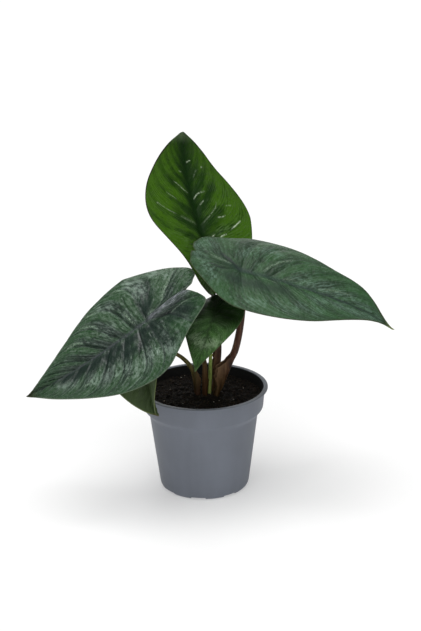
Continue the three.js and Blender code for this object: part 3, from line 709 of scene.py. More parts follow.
def vein_group():
    """Masks that follow the veins, from the numbers stored on a blade's vertices.

    Lateral and Fine are 1 on a vein line and fall to 0 beside it, Rib is a bell across
    the midrib, Rim is 1 on the margin, and Streak is noise drawn out along the veins.
    """
    inputs = {"Lateral Width": 0.04, "Fine Count": 6.0, "Rib Width": 6.0, "Rim Width": 0.8}
    outputs = ("Lateral", "Fine", "Rib", "Rim", "Streak")
    tree, s, given, result = new_group("Leaf veins", inputs, outputs)
    position = s.position()
    place = s.attribute("vein_place")
    tipward = s.attribute("tipward")
    wander = s.minus(s.noise(position, 110), 0.5)

    def line(value, width):
        """1 where the value is whole, falling to 0 at width from there."""
        nearest = s.math("FRACT", s.plus(value, 0.5))
        return s.spread(s.math("ABSOLUTE", s.minus(nearest, 0.5)), 0.0, width, 1.0, 0.0)

    s.put(result["Lateral"], line(s.plus(place, s.times(wander, 0.05)), given["Lateral Width"]))
    fine = s.times(s.plus(place, s.times(wander, 0.12)), given["Fine Count"])
    broken = s.spread(s.noise(position, 190, 3.0), 0.4, 0.62)
    s.put(result["Fine"], s.times(line(fine, 0.3), broken))
    ragged = s.plus(1.0, s.times(s.minus(s.noise(position, 260, 3.0), 0.5), 0.9))
    width = s.times(given["Rib Width"], s.spread(tipward, -0.1, 1.05, 1.0, 0.18), ragged)
    ratio = s.math("DIVIDE", s.attribute("from_rib"), width)
    rib = s.math("EXPONENT", s.times(ratio, ratio, -1.0))
    s.put(result["Rib"], s.times(rib, s.spread(tipward, -0.14, -0.02)))
    rim = s.math("DIVIDE", s.attribute("from_rim"), given["Rim Width"])
    rim = s.spread(rim, 0.4, 1.0, 1.0, 0.0)
    s.put(result["Rim"], s.times(rim, s.spread(tipward, 0.88, 0.96, 1.0, 0.0)))
    drawn = s.vector(s.times(place, 11.0), s.times(s.attribute("across"), 7.0), 0.0)
    s.put(result["Streak"], s.noise(drawn, 1.0, 5.0, 0.6, 0.4))
    return tree


def skin_group():
    """Noise for the uneven colour and small relief of a leaf's skin, coarse to fine."""
    tree, s, _, result = new_group("Leaf skin", {}, ("Blotch", "Net", "Speck", "Dapple"))
    position = s.position()
    s.put(result["Blotch"], s.noise(position, 42.0, 3.0))
    s.put(result["Dapple"], s.noise(position, 310.0, 4.0, 0.65, 0.6))
    s.put(result["Net"], s.cells(position, 420.0))
    s.put(result["Speck"], s.noise(position, 700.0, 3.0, 0.6))
    return tree


def leaf_material(name, colours, look, groups):
    """Leaf finish: green blade with paler streaks, painted sheen, veins, rim and underside.

    The painted sheen lies where the grain is high, more so in the patches, and painted shade
    lies in the hollows where it is low. Both the sheen and the small relief grow calm in the shaded places.
    """
    material, s = new_material(f"{name} leaf")
    sizes = {
        "Lateral Width": look["lateral_width"], "Fine Count": look["fine_count"],
        "Rib Width": look["rib_width"], "Rim Width": look["rim_width"],
    }
    veins = s.group(groups["veins"], sizes)
    skin = s.group(groups["skin"], {})
    tipward, from_rib = s.attribute("tipward"), s.attribute("from_rib")
    calm = s.minus(1.0, s.times(s.attribute("shade"), 0.85))

    outer = s.spread(from_rib, 0.0, 40.0, -look["contrast"], look["contrast"])
    band = s.math("SINE", s.times(s.attribute("vein_place"), 2 * math.pi))
    tone = s.plus(s.blend(0.5, skin["Blotch"], veins["Streak"]), outer, s.times(band, look["band"]))
    tone = s.spread(tone, 0.36, 0.64)
    margin = s.times(s.spread(s.attribute("from_rim"), 0.0, 14.0, 1.0, 0.0), look["margin"])
    grain = s.blend(0.4, veins["Streak"], skin["Dapple"])
    # Painted shade: the low places of the grain are darkened as if shade lay in them
    hollow = s.times(s.spread(grain, 0.34, 0.48, 1.0, 0.0), look["hollow"])
    shade = s.largest(s.times(s.attribute("shade"), look["shade"]), hollow)
    # Painted sheen: a grey-white coat stands for light reflected off the raised grain and the sheen patches
    patches = s.times(s.attribute("sheen"), look["sheen"])
    dust = s.spread(s.plus(grain, s.times(patches, 0.08)), 0.46, 0.66)
    dust = s.times(dust, s.plus(look["dust"], s.times(patches, 0.4)), calm)
    # Fine vein lines take the same painted sheen colour, as painted highlights along them
    fine = s.times(veins["Fine"], look["fine"], calm)
    # Painted highlight: the pale grey crest colour is streaked along the rib over the joined lobes
    drawn = s.vector(s.times(from_rib, 1.6), s.times(tipward, 16.0), 0.0)
    ridges = s.spread(s.noise(drawn, 1.0, 4.0, 0.6, 0.3), 0.42, 0.58, 0.12, 1.0)
    crest = s.times(s.attribute("crest"), ridges)
    # Painted glints: the pale strokes mix near white into the colour as highlights, broken by speckle
    broken = s.spread(skin["Speck"], 0.4, 0.56, 0.1, 1.0)
    pale = s.times(s.attribute("pale"), broken, look["pale"])
    upper = s.coats(
        colours.blade,
        (tone, colours.light),
        (margin, colours.light),
        (shade, colours.shade),
        (dust, colours.dust),
        (fine, colours.dust),
        (s.times(veins["Rib"], look["rib"]), colours.rib),
        (s.times(crest, look["crest"]), colours.crest),
        (s.times(veins["Lateral"], look["lateral"]), look["lateral_colour"]),
        (s.times(s.attribute("dark"), look["dark"]), look["dark_colour"]),
        (pale, look["painted_glint_colour"]),
        (s.spread(tipward, 0.9, 1.0), look["tip_colour"]),
        (veins["Rim"], colours.rim),
    )
    ribbed = s.largest(s.times(veins["Lateral"], 0.6), s.times(veins["Rib"], 0.9))
    lower = s.coats(colours.under, (s.times(tone, 0.5), colours.light), (ribbed, colours.keel))

    under = s.attribute("under")
    rough = s.blend(s.largest(fine, pale), look["roughness"], look["roughness"] - 0.14)
    rough = s.plus(rough, s.times(s.minus(skin["Speck"], 0.5), 0.22), s.times(under, 0.2))
    height = s.plus(
        s.times(skin["Net"], look["net"]),
        s.times(veins["Streak"], look["streak"]),
        s.times(veins["Fine"], look["streak"] * 0.5),
        s.times(skin["Dapple"], look["dapple"]),
    )
    height = s.plus(s.times(height, calm), s.times(crest, look["crest"]))
    s.finish({
        "Base Color": s.mix(under, upper, lower),
        "Roughness": s.largest(rough, 0.12),
        "Normal": s.bump(height, 1.0, 0.001),
        "Specular IOR Level": look["gloss"],
    })
    return material


def petiole_material(name, colours):
    """Petiole finish: dark and pale lengthwise streaks, its own foot and sheath edges."""
    material, s = new_material(f"{name} petiole")
    position = s.position()
    streak = s.noise(s.stretch(position, (420.0, 420.0, 30.0)), 1.0, 4.0, 0.7)
    up = s.attribute("up")
    skin = s.mix(s.spread(up, 0.2, 0.55), colours.foot, colours.skin)
    dark = s.mix(0.85, skin, colours.streak)
    pale = s.mix(0.35, skin, colours.edge)
    colour = s.coats(
        s.mix(s.spread(streak, 0.4, 0.5), dark, skin),
        (s.spread(streak, 0.52, 0.62), pale),
        (s.attribute("edge"), colours.edge),
    )
    s.finish({
        "Base Color": colour,
        "Roughness": s.spread(streak, 0.2, 0.8, 0.42, 0.58),
        "Normal": s.bump(streak, 0.5, 0.0004),
        "Specular IOR Level": 0.25,
    })
    return material


def pot_material(name, colour):
    """Moulded plastic: faint flow lines, handling marks and fine grain."""
    material, s = new_material(name)
    position = s.position()
    cloud = s.noise(position, 28, 4.0, 0.55)
    flow = s.noise(s.stretch(position, (60.0, 60.0, 6.0)), 1.0, 3.0)
    grain = s.noise(position, 2600, 2.0)
    mixed = s.blend(0.5, cloud, flow)
    dark = tuple(0.9 * channel for channel in colour)
    pale = tuple(min(1.0, 1.08 * channel) for channel in colour)
    s.finish({
        "Base Color": s.mix(s.spread(mixed, 0.3, 0.7), dark, pale),
        "Roughness": s.spread(mixed, 0.3, 0.7, 0.5, 0.6),
        "Normal": s.bump(grain, 0.25, 0.0002),
        "Specular IOR Level": 0.4,
    })
    return material


def soil_material(name, low, high, rough):
    """Peat, crumbs or grains: one tone a crumb, with fine mottling over it."""
    material, s = new_material(name)
    position = s.position()
    mottle = s.noise(position, 900, 4.0, 0.65)
    tone = s.blend(0.5, mottle, s.attribute("tone"))
    s.finish({
        "Base Color": s.mix(s.spread(tone, 0.25, 0.85), low, high),
        "Roughness": rough,
        "Normal": s.bump(mottle, 0.8, 0.0006),
        "Specular IOR Level": 0.25,
    })
    return material


# Pot
def rounded(corners, steps=6):
    """Profile whose corners (r, z, reach) become parabola arcs touching both edges."""
    points = []
    last = len(corners) - 1
    for k, (r, z, reach) in enumerate(corners):
        here = np.array([r, z])
        if reach == 0 or k in (0, last):
            points.append(here[None])
            continue
        arms = []
        for other in (corners[k - 1], corners[k + 1]):
            arm = np.array(other[:2]) - here
            length = np.hypot(*arm)
            arms.append(here + arm * min(reach, 0.45 * length) / length)
        u = np.linspace(0, 1, steps)[:, None]
        points.append((1 - u) ** 2 * arms[0] + 2 * u * (1 - u) * here + u**2 * arms[1])
    return np.vstack(points)


def refined(profile, longest):
    """The profile with each edge split evenly, so that none is longer than longest."""
    parts = []
    for start, end in zip(profile[:-1], profile[1:]):
        count = max(1, int(np.ceil(np.hypot(*(end - start)) / longest)))
        parts.append(start + (end - start) * (np.arange(count) / count)[:, None])
    return np.vstack([*parts, profile[-1:]])


def lathe(profile, segments):
    """Rings of a profile (r, z) turned about the Z axis."""
    turn = np.linspace(0, 2 * np.pi, segments, endpoint=False)
    r, z = profile[:, :1], profile[:, 1:]
    return np.stack(np.broadcast_arrays(r * np.cos(turn), r * np.sin(turn), z), -1)


def turned_mesh(name, profile, segments):
    """Closed mesh of a profile that starts and ends on the Z axis, in metres."""
    rings = lathe(profile[1:-1], segments) * MM
    start, end = ([0, 0, z * MM] for z in (profile[0, 1], profile[-1, 1]))
    return tube_mesh(name, rings, start, end)


def inner_profile(rim, height):
    """Inside of a pot of that rim radius and height, from lip to floor, as (r, z) corners."""
    collar_top = rim - LIP_OVERHANG
    collar_foot = height - COLLAR_HEIGHT
    body_top = collar_foot - SHOULDER_HEIGHT
    return [
        (collar_top - WALL, height - LIP_HEIGHT),
        (collar_top - COLLAR_DRAFT - WALL, collar_foot + WALL),
        (BODY_TOP_RADIUS - WALL, body_top),
        (BODY_BASE_RADIUS + 0.2 - WALL, HEEL_RADIUS + WALL),
        (BODY_BASE_RADIUS - HEEL_RADIUS, FOOT_HEIGHT + WALL),
    ]


def pot_cutters():
    """Eight notches through the foot ring and eight drain holes, as one mesh."""
    points, quads, triangles, first = [], [], [], 0
    box = np.array([(x, y, z) for x in (-0.5, 0.5) for y in (-0.5, 0.5) for z in (-0.5, 0.5)])
    box = box * (FOOT_NOTCH_LENGTH, FOOT_NOTCH_WIDTH, 2 * FOOT_HEIGHT)
    box = box + (FOOT_RING_INNER + FOOT_NOTCH_LENGTH / 2 - 1, 0, 0)
    box_faces = np.array([(0, 1, 3, 2), (4, 6, 7, 5), (0, 4, 5, 1), (2, 3, 7, 6), (0, 2, 6, 4), (1, 5, 7, 3)])
    sides = 24
    drain = lathe(np.array([(DRAIN_RADIUS, 0.5), (DRAIN_RADIUS, 3 * WALL + 1.5)]), sides).reshape(-1, 3)
    drain = np.vstack([[(0, 0, 0.5)], drain, [(0, 0, 3 * WALL + 1.5)]]) + (DRAIN_CIRCLE, 0, 0)
    drain_fans = np.vstack([fan_faces(0, 1, sides, turned=True), fan_faces(2 * sides + 1, sides + 1, sides)])
    for k in range(FOOT_COUNT):
        a = math.radians(FOOT_NOTCH_TURN + 360 * k / FOOT_COUNT)
        turn = np.array([(math.cos(a), math.sin(a), 0), (-math.sin(a), math.cos(a), 0), (0, 0, 1)])
        points += [box @ turn, drain @ turn]
        quads += [box_faces + first, ring_faces(2, sides, first + 9)]
        triangles.append(drain_fans + first + 8)
        first += 8 + len(drain)
    return solid_mesh("cutters", np.vstack(points) * MM, np.vstack(quads), np.vstack(triangles))


def cut(piece, cutter_mesh):
    """Takes the cutter's solids out of the piece, in its own mesh."""
    cutter = bpy.data.objects.new("cutter", cutter_mesh)
    bpy.context.scene.collection.objects.link(cutter)
    change = piece.modifiers.new("cut", "BOOLEAN")
    change.operation = "DIFFERENCE"
    change.solver = "EXACT"
    change.object = cutter
    bpy.context.view_layer.update()
    graph = bpy.context.evaluated_depsgraph_get()
    mesh = bpy.data.meshes.new_from_object(piece.evaluated_get(graph))
    piece.modifiers.clear()
    piece.data = mesh
    bpy.data.objects.remove(cutter)


class ALOCASIA_OT_pot(Operator):
    """Round pot with a flanged lip, collar, tapered body and notched foot ring"""

    bl_idname = "alocasia.pot"
    bl_label = "Pot"

    def execute(self, context):
        settings = context.scene.alocasia.pot
        rim, height = settings.rim_radius / MM, settings.height / MM
        collar_top = rim - LIP_OVERHANG
        collar_foot = height - COLLAR_HEIGHT
        inner = inner_profile(rim, height)
        corners = [
            (0, 0, 0),
            (HUB_RADIUS, 0, 0.5),
            (HUB_RADIUS + HUB_DRAFT, FOOT_HEIGHT, 0.5),
            (FOOT_RING_INNER, FOOT_HEIGHT, 0.4),
            (FOOT_RING_INNER + FOOT_DRAFT, 0, 0.4),
            (BODY_BASE_RADIUS - 0.3, 0, HEEL_RADIUS),
            (BODY_TOP_RADIUS, collar_foot - SHOULDER_HEIGHT, 2.2),
            (collar_top - COLLAR_DRAFT, collar_foot, 1.3),
            (collar_top, height - LIP_HEIGHT, 0.9),
            (rim, height - LIP_HEIGHT, 0.7),
            (rim, height, 0.8),
            (collar_top - WALL + 0.3, height, 0.5),
            *((r, z, 0.8) for r, z in inner),
            (HUB_RADIUS - WALL + HUB_DRAFT, FOOT_HEIGHT + WALL, 0.5),
            (HUB_RADIUS - WALL, WALL, 0.5),
            (0, WALL, 0),
        ]
        profile = refined(rounded(corners), 4.0)
        mesh = turned_mesh("pot_shell", profile, POT_SEGMENTS)
        centres = np.empty(len(mesh.polygons) * 3)
        mesh.polygons.foreach_get("center", centres)
        x, y, z = centres.reshape(-1, 3).T / MM
        # Faces well within the outer wall are coloured near black
        levels = (HEEL_RADIUS, collar_foot - SHOULDER_HEIGHT, collar_foot, height)
        radii = (BODY_BASE_RADIUS, BODY_TOP_RADIUS, collar_top - COLLAR_DRAFT, collar_top)
        wall = np.interp(z, levels, radii) - np.hypot(x, y)
        inside = (wall > 0.8) & (z > FOOT_HEIGHT + 0.5) & (z < height - 0.6)
        mesh.polygons.foreach_set("material_index", inside.astype(np.int32))
        shell = pot_material("Grey pot plastic", settings.colour)
        dark_inner_wall = pot_material("Dark pot inner wall", settings.inside_colour)
        piece = add_piece("pot_shell", mesh, "pot_plastic", ["pot"], shell, dark_inner_wall)
        cut(piece, pot_cutters())
        return {"FINISHED"}


# Soil
def soil_height(x, y):
    """Top of the soil: a low mound round the crown, broad lumps and crumbly noise."""
    reach = RIM_RADIUS - LIP_OVERHANG - COLLAR_DRAFT - WALL
    r = np.hypot(x, y) / reach
    mound = SOIL_MOUND * np.exp(-3 * r * r)
    lumps = np.sin(0.31 * x + 1.1) * np.cos(0.27 * y - 0.4) + 0.6 * np.sin(0.47 * y + 0.23 * x)
    lumps = lumps + 0.5 * np.cos(0.59 * x - 0.41 * y + 2)
    crumb = sum(
        size * (lattice_noise(x / cell + 40, y / cell + 40, seed) - 0.5)
        for seed, (cell, size) in enumerate(((6.1, 1.6), (2.7, 1.3), (1.2, 0.8)), 11)
    )
    return POT_HEIGHT - SOIL_DROP + mound + SOIL_LUMP * lumps * (1 - 0.5 * r) + crumb


def crumb_mesh(name, places, sizes, seed):
    """Many small lumps as one mesh: twelve-cornered solids, each pulled out of shape.

    Each lump is an icosahedron whose corners move in or out by a third at random, turned
    at random, scaled to its size, flattened a little and set down at its place.
    """
    rng = np.random.default_rng(seed)
    g = (1 + 5**0.5) / 2
    corners = np.array([
        (-1, g, 0), (1, g, 0), (-1, -g, 0), (1, -g, 0), (0, -1, g), (0, 1, g),
        (0, -1, -g), (0, 1, -g), (g, 0, -1), (g, 0, 1), (-g, 0, -1), (-g, 0, 1),
    ]) / math.hypot(1, g)
    faces = np.array([
        (0, 11, 5), (0, 5, 1), (0, 1, 7), (0, 7, 10), (0, 10, 11), (1, 5, 9), (5, 11, 4),
        (11, 10, 2), (10, 7, 6), (7, 1, 8), (3, 9, 4), (3, 4, 2), (3, 2, 6), (3, 6, 8),
        (3, 8, 9), (4, 9, 5), (2, 4, 11), (6, 2, 10), (8, 6, 7), (9, 8, 1),
    ])
    count = len(places)
    lumps = corners * (0.67 + 0.66 * rng.random((count, 12, 1)))
    lumps = lumps * (0.7 + 0.6 * rng.random((count, 1, 3)))
    a, b = rng.random((2, count)) * 2 * np.pi
    ca, sa, cb, sb = np.cos(a), np.sin(a), np.cos(b), np.sin(b)
    zero = np.zeros(count)
    turn = np.stack([ca, -sa, zero, sa * cb, ca * cb, -sb, sa * sb, ca * sb, cb], -1).reshape(-1, 3, 3)
    lumps = np.einsum("nij,nkj->nki", turn, lumps) * np.asarray(sizes)[:, None, None]
    lumps[:, :, 2] *= 0.8
    points = (lumps + places[:, None, :]).reshape(-1, 3) * MM
    triangles = (faces[None] + 12 * np.arange(count)[:, None, None]).reshape(-1, 3)
    mesh = solid_mesh(name, points, np.zeros((0, 4), int), triangles)
    mark(mesh, tone=np.repeat(rng.random(count), 12))
    return mesh


def scattered(count, reach, seed, lift):
    """Random places spread evenly, lift above the soil's top, out to reach from its middle."""
    rng = np.random.default_rng(seed)
    r = reach * np.sqrt(rng.random(count))
    a = 2 * np.pi * rng.random(count)
    x, y = r * np.cos(a), r * np.sin(a)
    return np.stack([x, y, soil_height(x, y) + lift], -1)


def soil_profile():
    """Outline (r, z) of the soil under a flat top, split in rings, and that top's height."""
    inner = inner_profile(RIM_RADIUS, POT_HEIGHT)
    hub = HUB_RADIUS - WALL
    floor = [(0, WALL), (hub, WALL), (hub + HUB_DRAFT, FOOT_HEIGHT + WALL)]
    floor = [(max(r - SOIL_GAP, 0), z + SOIL_GAP) for r, z in floor]
    wall = [(r - SOIL_GAP, z + SOIL_GAP) for r, z in inner[:0:-1]]
    level = POT_HEIGHT - SOIL_DROP
    (lip_r, lip_z), (foot_r, foot_z) = inner[:2]
    wall_top = lip_r - (lip_r - foot_r) * (lip_z - level) / (lip_z - foot_z) - SOIL_GAP
    top = [(wall_top * (1 - k / SOIL_RINGS), level) for k in range(SOIL_RINGS + 1)]
    return np.array(floor + wall + top), level


class ALOCASIA_OT_soil(Operator):
    """Peat with loose crumbs and pale grains"""

    bl_idname = "alocasia.soil"
    bl_label = "Soil"

    def execute(self, context):
        settings = context.scene.alocasia.soil
        profile, level = soil_profile()
        mesh = turned_mesh("soil_body", profile, SOIL_SEGMENTS)
        points = np.empty(len(mesh.vertices) * 3)
        mesh.vertices.foreach_get("co", points)
        points = points.reshape(-1, 3) / MM
        upper = points[:, 2] > level - 0.01
        points[upper, 2] = soil_height(points[upper, 0], points[upper, 1])
        mesh.vertices.foreach_set("co", (points * MM).astype(np.float32).ravel())
        mesh.update()
        mark(mesh, tone=lattice_noise(points[:, 0] / 2 + 40, points[:, 1] / 2 + 40, 5))
        peat = soil_material("Peat", settings.dark, settings.light, 0.9)
        add_piece("soil_body", mesh, "peat", ["soil"], peat)

        rng = np.random.default_rng(21)
        places = scattered(settings.crumbs, CRUMB_REACH, seed=22, lift=0.1)
        sizes = np.clip(rng.lognormal(-0.35, 0.42, len(places)), 0.35, 1.9)
        crumbs = soil_material("Peat crumbs", settings.dark, settings.crumb, 0.85)
        add_piece("soil_crumbs", crumb_mesh("soil_crumbs", places, sizes, seed=23), "peat", [], crumbs)

        x, y, large = np.array(LARGE_GRAINS).T
        places = scattered(settings.grains, CRUMB_REACH, seed=24, lift=GRAIN_LIFT)
        places = np.vstack([places, np.stack([x, y, soil_height(x, y) + GRAIN_LIFT], -1)])
        sizes = 0.3 + 0.45 * rng.random(len(places)) ** 2
        sizes[-len(large):] = large
        grains = soil_material("Perlite grains", settings.grain_dark, settings.grain, 0.8)
        add_piece("soil_grains", crumb_mesh("soil_grains", places, sizes, seed=25), "peat", [], grains)
        return {"FINISHED"}


class ALOCASIA_OT_rootstock(Operator):
    """Barky finish for the rootstock that stays as the model has it"""

    bl_idname = "alocasia.rootstock"
    bl_label = "Rootstock"

    def execute(self, context):
        material, s = new_material("Rootstock bark")
        position = s.position()
        rings = s.noise(s.stretch(position, (120.0, 120.0, 900.0)), 1.0, 4.0, 0.6)
        colour = s.mix(s.spread(rings, 0.3, 0.7), (0.03, 0.016, 0.008), (0.11, 0.06, 0.03))
        s.finish({"Base Color": colour, "Roughness": 0.85, "Normal": s.bump(rings, 0.8, 0.0008)})
        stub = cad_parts["rootstock"]
        stub.data.materials.clear()
        stub.data.materials.append(material)
        return {"FINISHED"}


# Blades
def leaf_axes(leaf):
    """Unit vectors along the midrib, to the leaf's left and out of its upper face."""
    h, p, r = (math.radians(leaf[name]) for name in ("heading", "pitch", "roll"))
    tipward = Vector((math.cos(p) * math.cos(h), math.cos(p) * math.sin(h), math.sin(p)))
    leftward = Matrix.Rotation(r, 3, tipward) @ Vector((-math.sin(h), math.cos(h), 0))
    return tuple(np.array(axis) for axis in (tipward, leftward, tipward.cross(leftward)))


def even_rows(leaf, count):
    """Row values from notch to tip, spaced so that rows lie evenly along the blade."""
    dense = np.linspace(0, 1, 1200)
    rib, along, out = spline(VEIN_ROWS, dense).T
    step = np.abs(np.diff(rib)) * leaf["length"]
    step = step + np.hypot(np.diff(along) * leaf["length"], np.diff(out) * leaf["half_width"])
    travelled = np.concatenate([[0], np.cumsum(step)])
    return np.interp(np.linspace(0, travelled[-1], count + 2)[1:-1], travelled, dense)


def midrib_curve(leaf, q):
    """Distance along and below the junction's tangent, and slope, at q blade lengths.

    The slope is droop times q plus curl times its cube towards the tip, and lobe droop
    times q over the lobes. Its cosine and sine are summed from the junction outwards.
    """
    dense = np.linspace(-0.7, 1.3, 4001)
    bend = np.where(dense > 0, leaf["droop"] * dense + leaf["curl"] * dense**3, leaf["lobe_droop"] * dense)
    slope = np.radians(bend)
    sums = [np.cumsum(part) * (dense[1] - dense[0]) for part in (np.cos(slope), np.sin(slope))]
    ahead, below = (np.interp(q, dense, part - np.interp(0, dense, part)) for part in sums)
    return ahead, below, np.interp(q, dense, slope)


def blade_grid(leaf):
    """Middle surface of a blade on a grid of vein rows by columns from left to right.

    A point lies on the straight line from where its vein leaves the midrib to where it
    meets the margin. Each half is lifted by its fold plus a cup that grows outwards, and
    the midrib's bend carries the row.
    """
    tipward, leftward, upper = leaf_axes(leaf)
    s = even_rows(leaf, leaf["rows"])[:, None]
    x = np.linspace(1, -1, 2 * leaf["columns"] + 1)[None, :]
    t = np.abs(x) ** COLUMN_CROWDING
    rib, along, out = (part[..., 0] for part in np.split(spline(VEIN_ROWS, s), 3, -1))
    place = rib
    out = np.maximum(out, 0)
    out = np.where(rib >= 0, out ** (1 / leaf["full"]), out)

    def half(name):
        """The value for the half of the leaf that each column lies in."""
        return np.where(x >= 0, *leaf[name])

    rib = np.where(rib < 0, rib * leaf["notch"], rib)
    lobes = leaf["notch"] + (half("lobes") - leaf["notch"]) * smooth(0, 0.4, out)
    corner = half("corner") * bell(out - 0.45, 0.25) * (place < 0)
    along = np.where(along < 0, along * lobes, along) - corner + leaf["forward"] * out

    q = rib + t * (along - rib)
    where = np.clip(place, 0, 1)
    widths = [spline(np.array(side)[:, None], where)[..., 0] for side in leaf["width"]]
    widths = np.where(x >= 0, *widths) * (1 + half("shoulder") * bell(place + 0.09, 0.09))
    reach = out * leaf["half_width"] * widths
    v = t * reach
    fold = half("fold") + leaf["tip_fold"] * np.clip(q, 0, 1) + half("lobe_fold") * np.maximum(0, -q)
    lift = np.radians(fold + 0.5 * half("cup") * v / leaf["half_width"])
    bow = leaf["length"] * (leaf["sickle"] * q * np.abs(q) + leaf["lobe_bow"] * np.minimum(q, 0) ** 2)
    aside = np.where(x >= 0, v, -v) * np.cos(lift) + bow
    above = v * np.sin(lift)
    ahead, below, slope = midrib_curve(leaf, q)
    points = (
        np.array(leaf["junction"])
        + tipward * (ahead * leaf["length"] + above * np.sin(slope))[..., None]
        + upper * (-below * leaf["length"] + above * np.cos(slope))[..., None]
        + leftward * aside[..., None]
    )
    across = np.broadcast_to(x, q.shape)
    return dict(points=points, s=s + 0 * q, x=across, t=t + 0 * q, v=v, q=q, place=place + 0 * q, reach=reach)


def vein_places(leaf, grid):
    """Number of the lateral vein at each point, whole on a vein, and the gap in mm.

    Past the junction the veins start at VEIN_FEET, sweep outwards and arch towards the
    tip near the margin. Over the lobes they fan out from the junction.
    """
    t, place = grid["t"], grid["place"]
    stagger = leaf["stagger"] * np.where(grid["x"] >= 0, 1, 0) * smooth(0, 0.1, place)
    arch = VEIN_ARCH * t**6 * smooth(-0.1, 0.1, place)
    moved = place + stagger + leaf["sweep"] * t * (1 - 0.5 * t) - arch
    ahead = np.interp(moved, VEIN_FEET, np.arange(len(VEIN_FEET)))
    fan = np.maximum(1 - np.clip(1 - t / FAN_REACH, 0, 1) ** 2, 0.02)
    behind = np.clip(moved / (LOBE_VEIN_SPACING * fan), -2.5, 0)
    gap = leaf["length"] * LOBE_VEIN_SPACING * np.where(moved > 0, 1, fan)
    return np.where(moved > 0, ahead, behind), gap


def crumple(a, b, seed):
    """Domes between sunken lines, from 0 to 1, over one scattered point a unit square.

    The height is how much farther the second nearest point is than the nearest.
    """
    table = np.random.default_rng(seed).random((NOISE_CELLS, NOISE_CELLS, 2))
    column, row = np.floor(a).astype(int), np.floor(b).astype(int)
    nearest, second = np.full(a.shape, 9.0), np.full(a.shape, 9.0)
    for i in (-1, 0, 1):
        for j in (-1, 0, 1):
            spot = table[(column + i) % NOISE_CELLS, (row + j) % NOISE_CELLS]
            distance = np.hypot(column + i + spot[..., 0] - a, row + j + spot[..., 1] - b)
            second = np.minimum(second, np.maximum(nearest, distance))
            nearest = np.minimum(nearest, distance)
    return smooth(0, 0.6, second - nearest)


def stroke_masks(name, leaf, grid):
    """Strength of each kind of stroke at each point, from 0 to 1.

    It is the strength times a bell of the distance to the nearest stretch of the line
    over the width, and the largest value of all the strokes of a kind is kept. Pale and
    dark strokes fade towards both ends as the square root of a parabola.
    """
    along, out = grid["q"] * leaf["length"], grid["v"] * np.where(grid["x"] >= 0, 1, -1)
    masks = {kind: np.zeros_like(along) for kind in ("pale", "dark", "sheen", "shade")}
    for kind, strength, width, *places in STROKES[name]:
        nearest = np.full(along.shape, 1e9)
        passed = np.zeros_like(along)
        for k, ((a, b), (c, d)) in enumerate(zip(places[:-1], places[1:])):
            u = ((along - a) * (c - a) + (out - b) * (d - b)) / ((c - a) ** 2 + (d - b) ** 2)
            u = np.clip(u, 0, 1)
            apart = np.hypot(along - a - u * (c - a), out - b - u * (d - b))
            passed = np.where(apart < nearest, (k + u) / (len(places) - 1), passed)
            nearest = np.minimum(nearest, apart)
        taper = np.sqrt(4 * passed * (1 - passed)) if kind in ("pale", "dark") else 1.0
        masks[kind] = np.maximum(masks[kind], strength * taper * bell(nearest, width))
    return masks


def pillow_height(leaf, grid, w, side, seed):
    """Broad pillows between the lateral veins, and puckers that make them uneven.

    A pillow is the sine of the vein number to the power 0.7, flat near the midrib and
    lower near the margin. Puckers are smooth noise that fades at both.
    """
    t, left = grid["t"], grid["x"] >= 0
    taper = 1 - 0.6 * np.clip(grid["place"], 0, None)
    flat = smooth(0.0, 0.1, t) * (1 - 0.85 * smooth(0.7, 1.0, t))
    pillow = np.where(left, *leaf["quilt"]) * taper * (np.abs(np.sin(np.pi * w)) ** 0.7 - 0.6) * flat
    pucker = lattice_noise(w * PUCKERS[0] + side + 11, grid["v"] / PUCKERS[1] + 11, seed + 4)
    pucker = leaf["pucker"] * (pucker - 0.5) * smooth(0.02, 0.25, t) * (1 - smooth(0.75, 1.0, t))
    return pillow + pucker


def small_height(leaf, grid, w, side, off, clear, seed):
    """Fine ribs near the midrib, a net of small domes farther out and vein grooves.

    Ribs are a cosine of the vein number, bent and broken by noise. The net is domes of
    two sizes, stronger in patches. A groove is a bell across its vein.
    """
    t, v, left = grid["t"], grid["v"], grid["x"] >= 0
    jitter = lattice_noise(w * 2.3 + side + 8, t * 3.1 + 8, seed)
    near = clear * smooth(0.02, 0.1, t) * (1 - smooth(0.4, 0.72, t)) * (1 - bell(off, 1.8))
    ribs = np.cos(2 * np.pi * (RIBS_PER_GAP * w + 1.2 * jitter)) * near * (0.3 + 1.4 * jitter)
    domes = crumple(w * DOMES[0] + side + 15 + 0.8 * jitter, v / DOMES[1] + 8, seed + 1)
    fine = crumple(w * FINE_DOMES[0] + side + 35, v / FINE_DOMES[1] + 8, seed + 2)
    patch = smooth(0.3, 0.6, lattice_noise(w * 1.3 + side + 9, t * 2.7 + 9, seed + 3))
    spread = clear * smooth(0.08, 0.4, t) * (1 - smooth(0.8, 1.0, t))
    net = leaf["net"] * spread * ((domes - 0.5) * (0.5 + patch) + 0.4 * (fine - 0.5))
    width = 1.3 if leaf["groove"] > 0 else 0.7
    groove = -leaf["groove"] * bell(off, width) * clear * smooth(0.0, 0.06, t) * (1 - t) ** 0.6
    return groove + ribs * np.where(left, *leaf["ribbing"]) + net


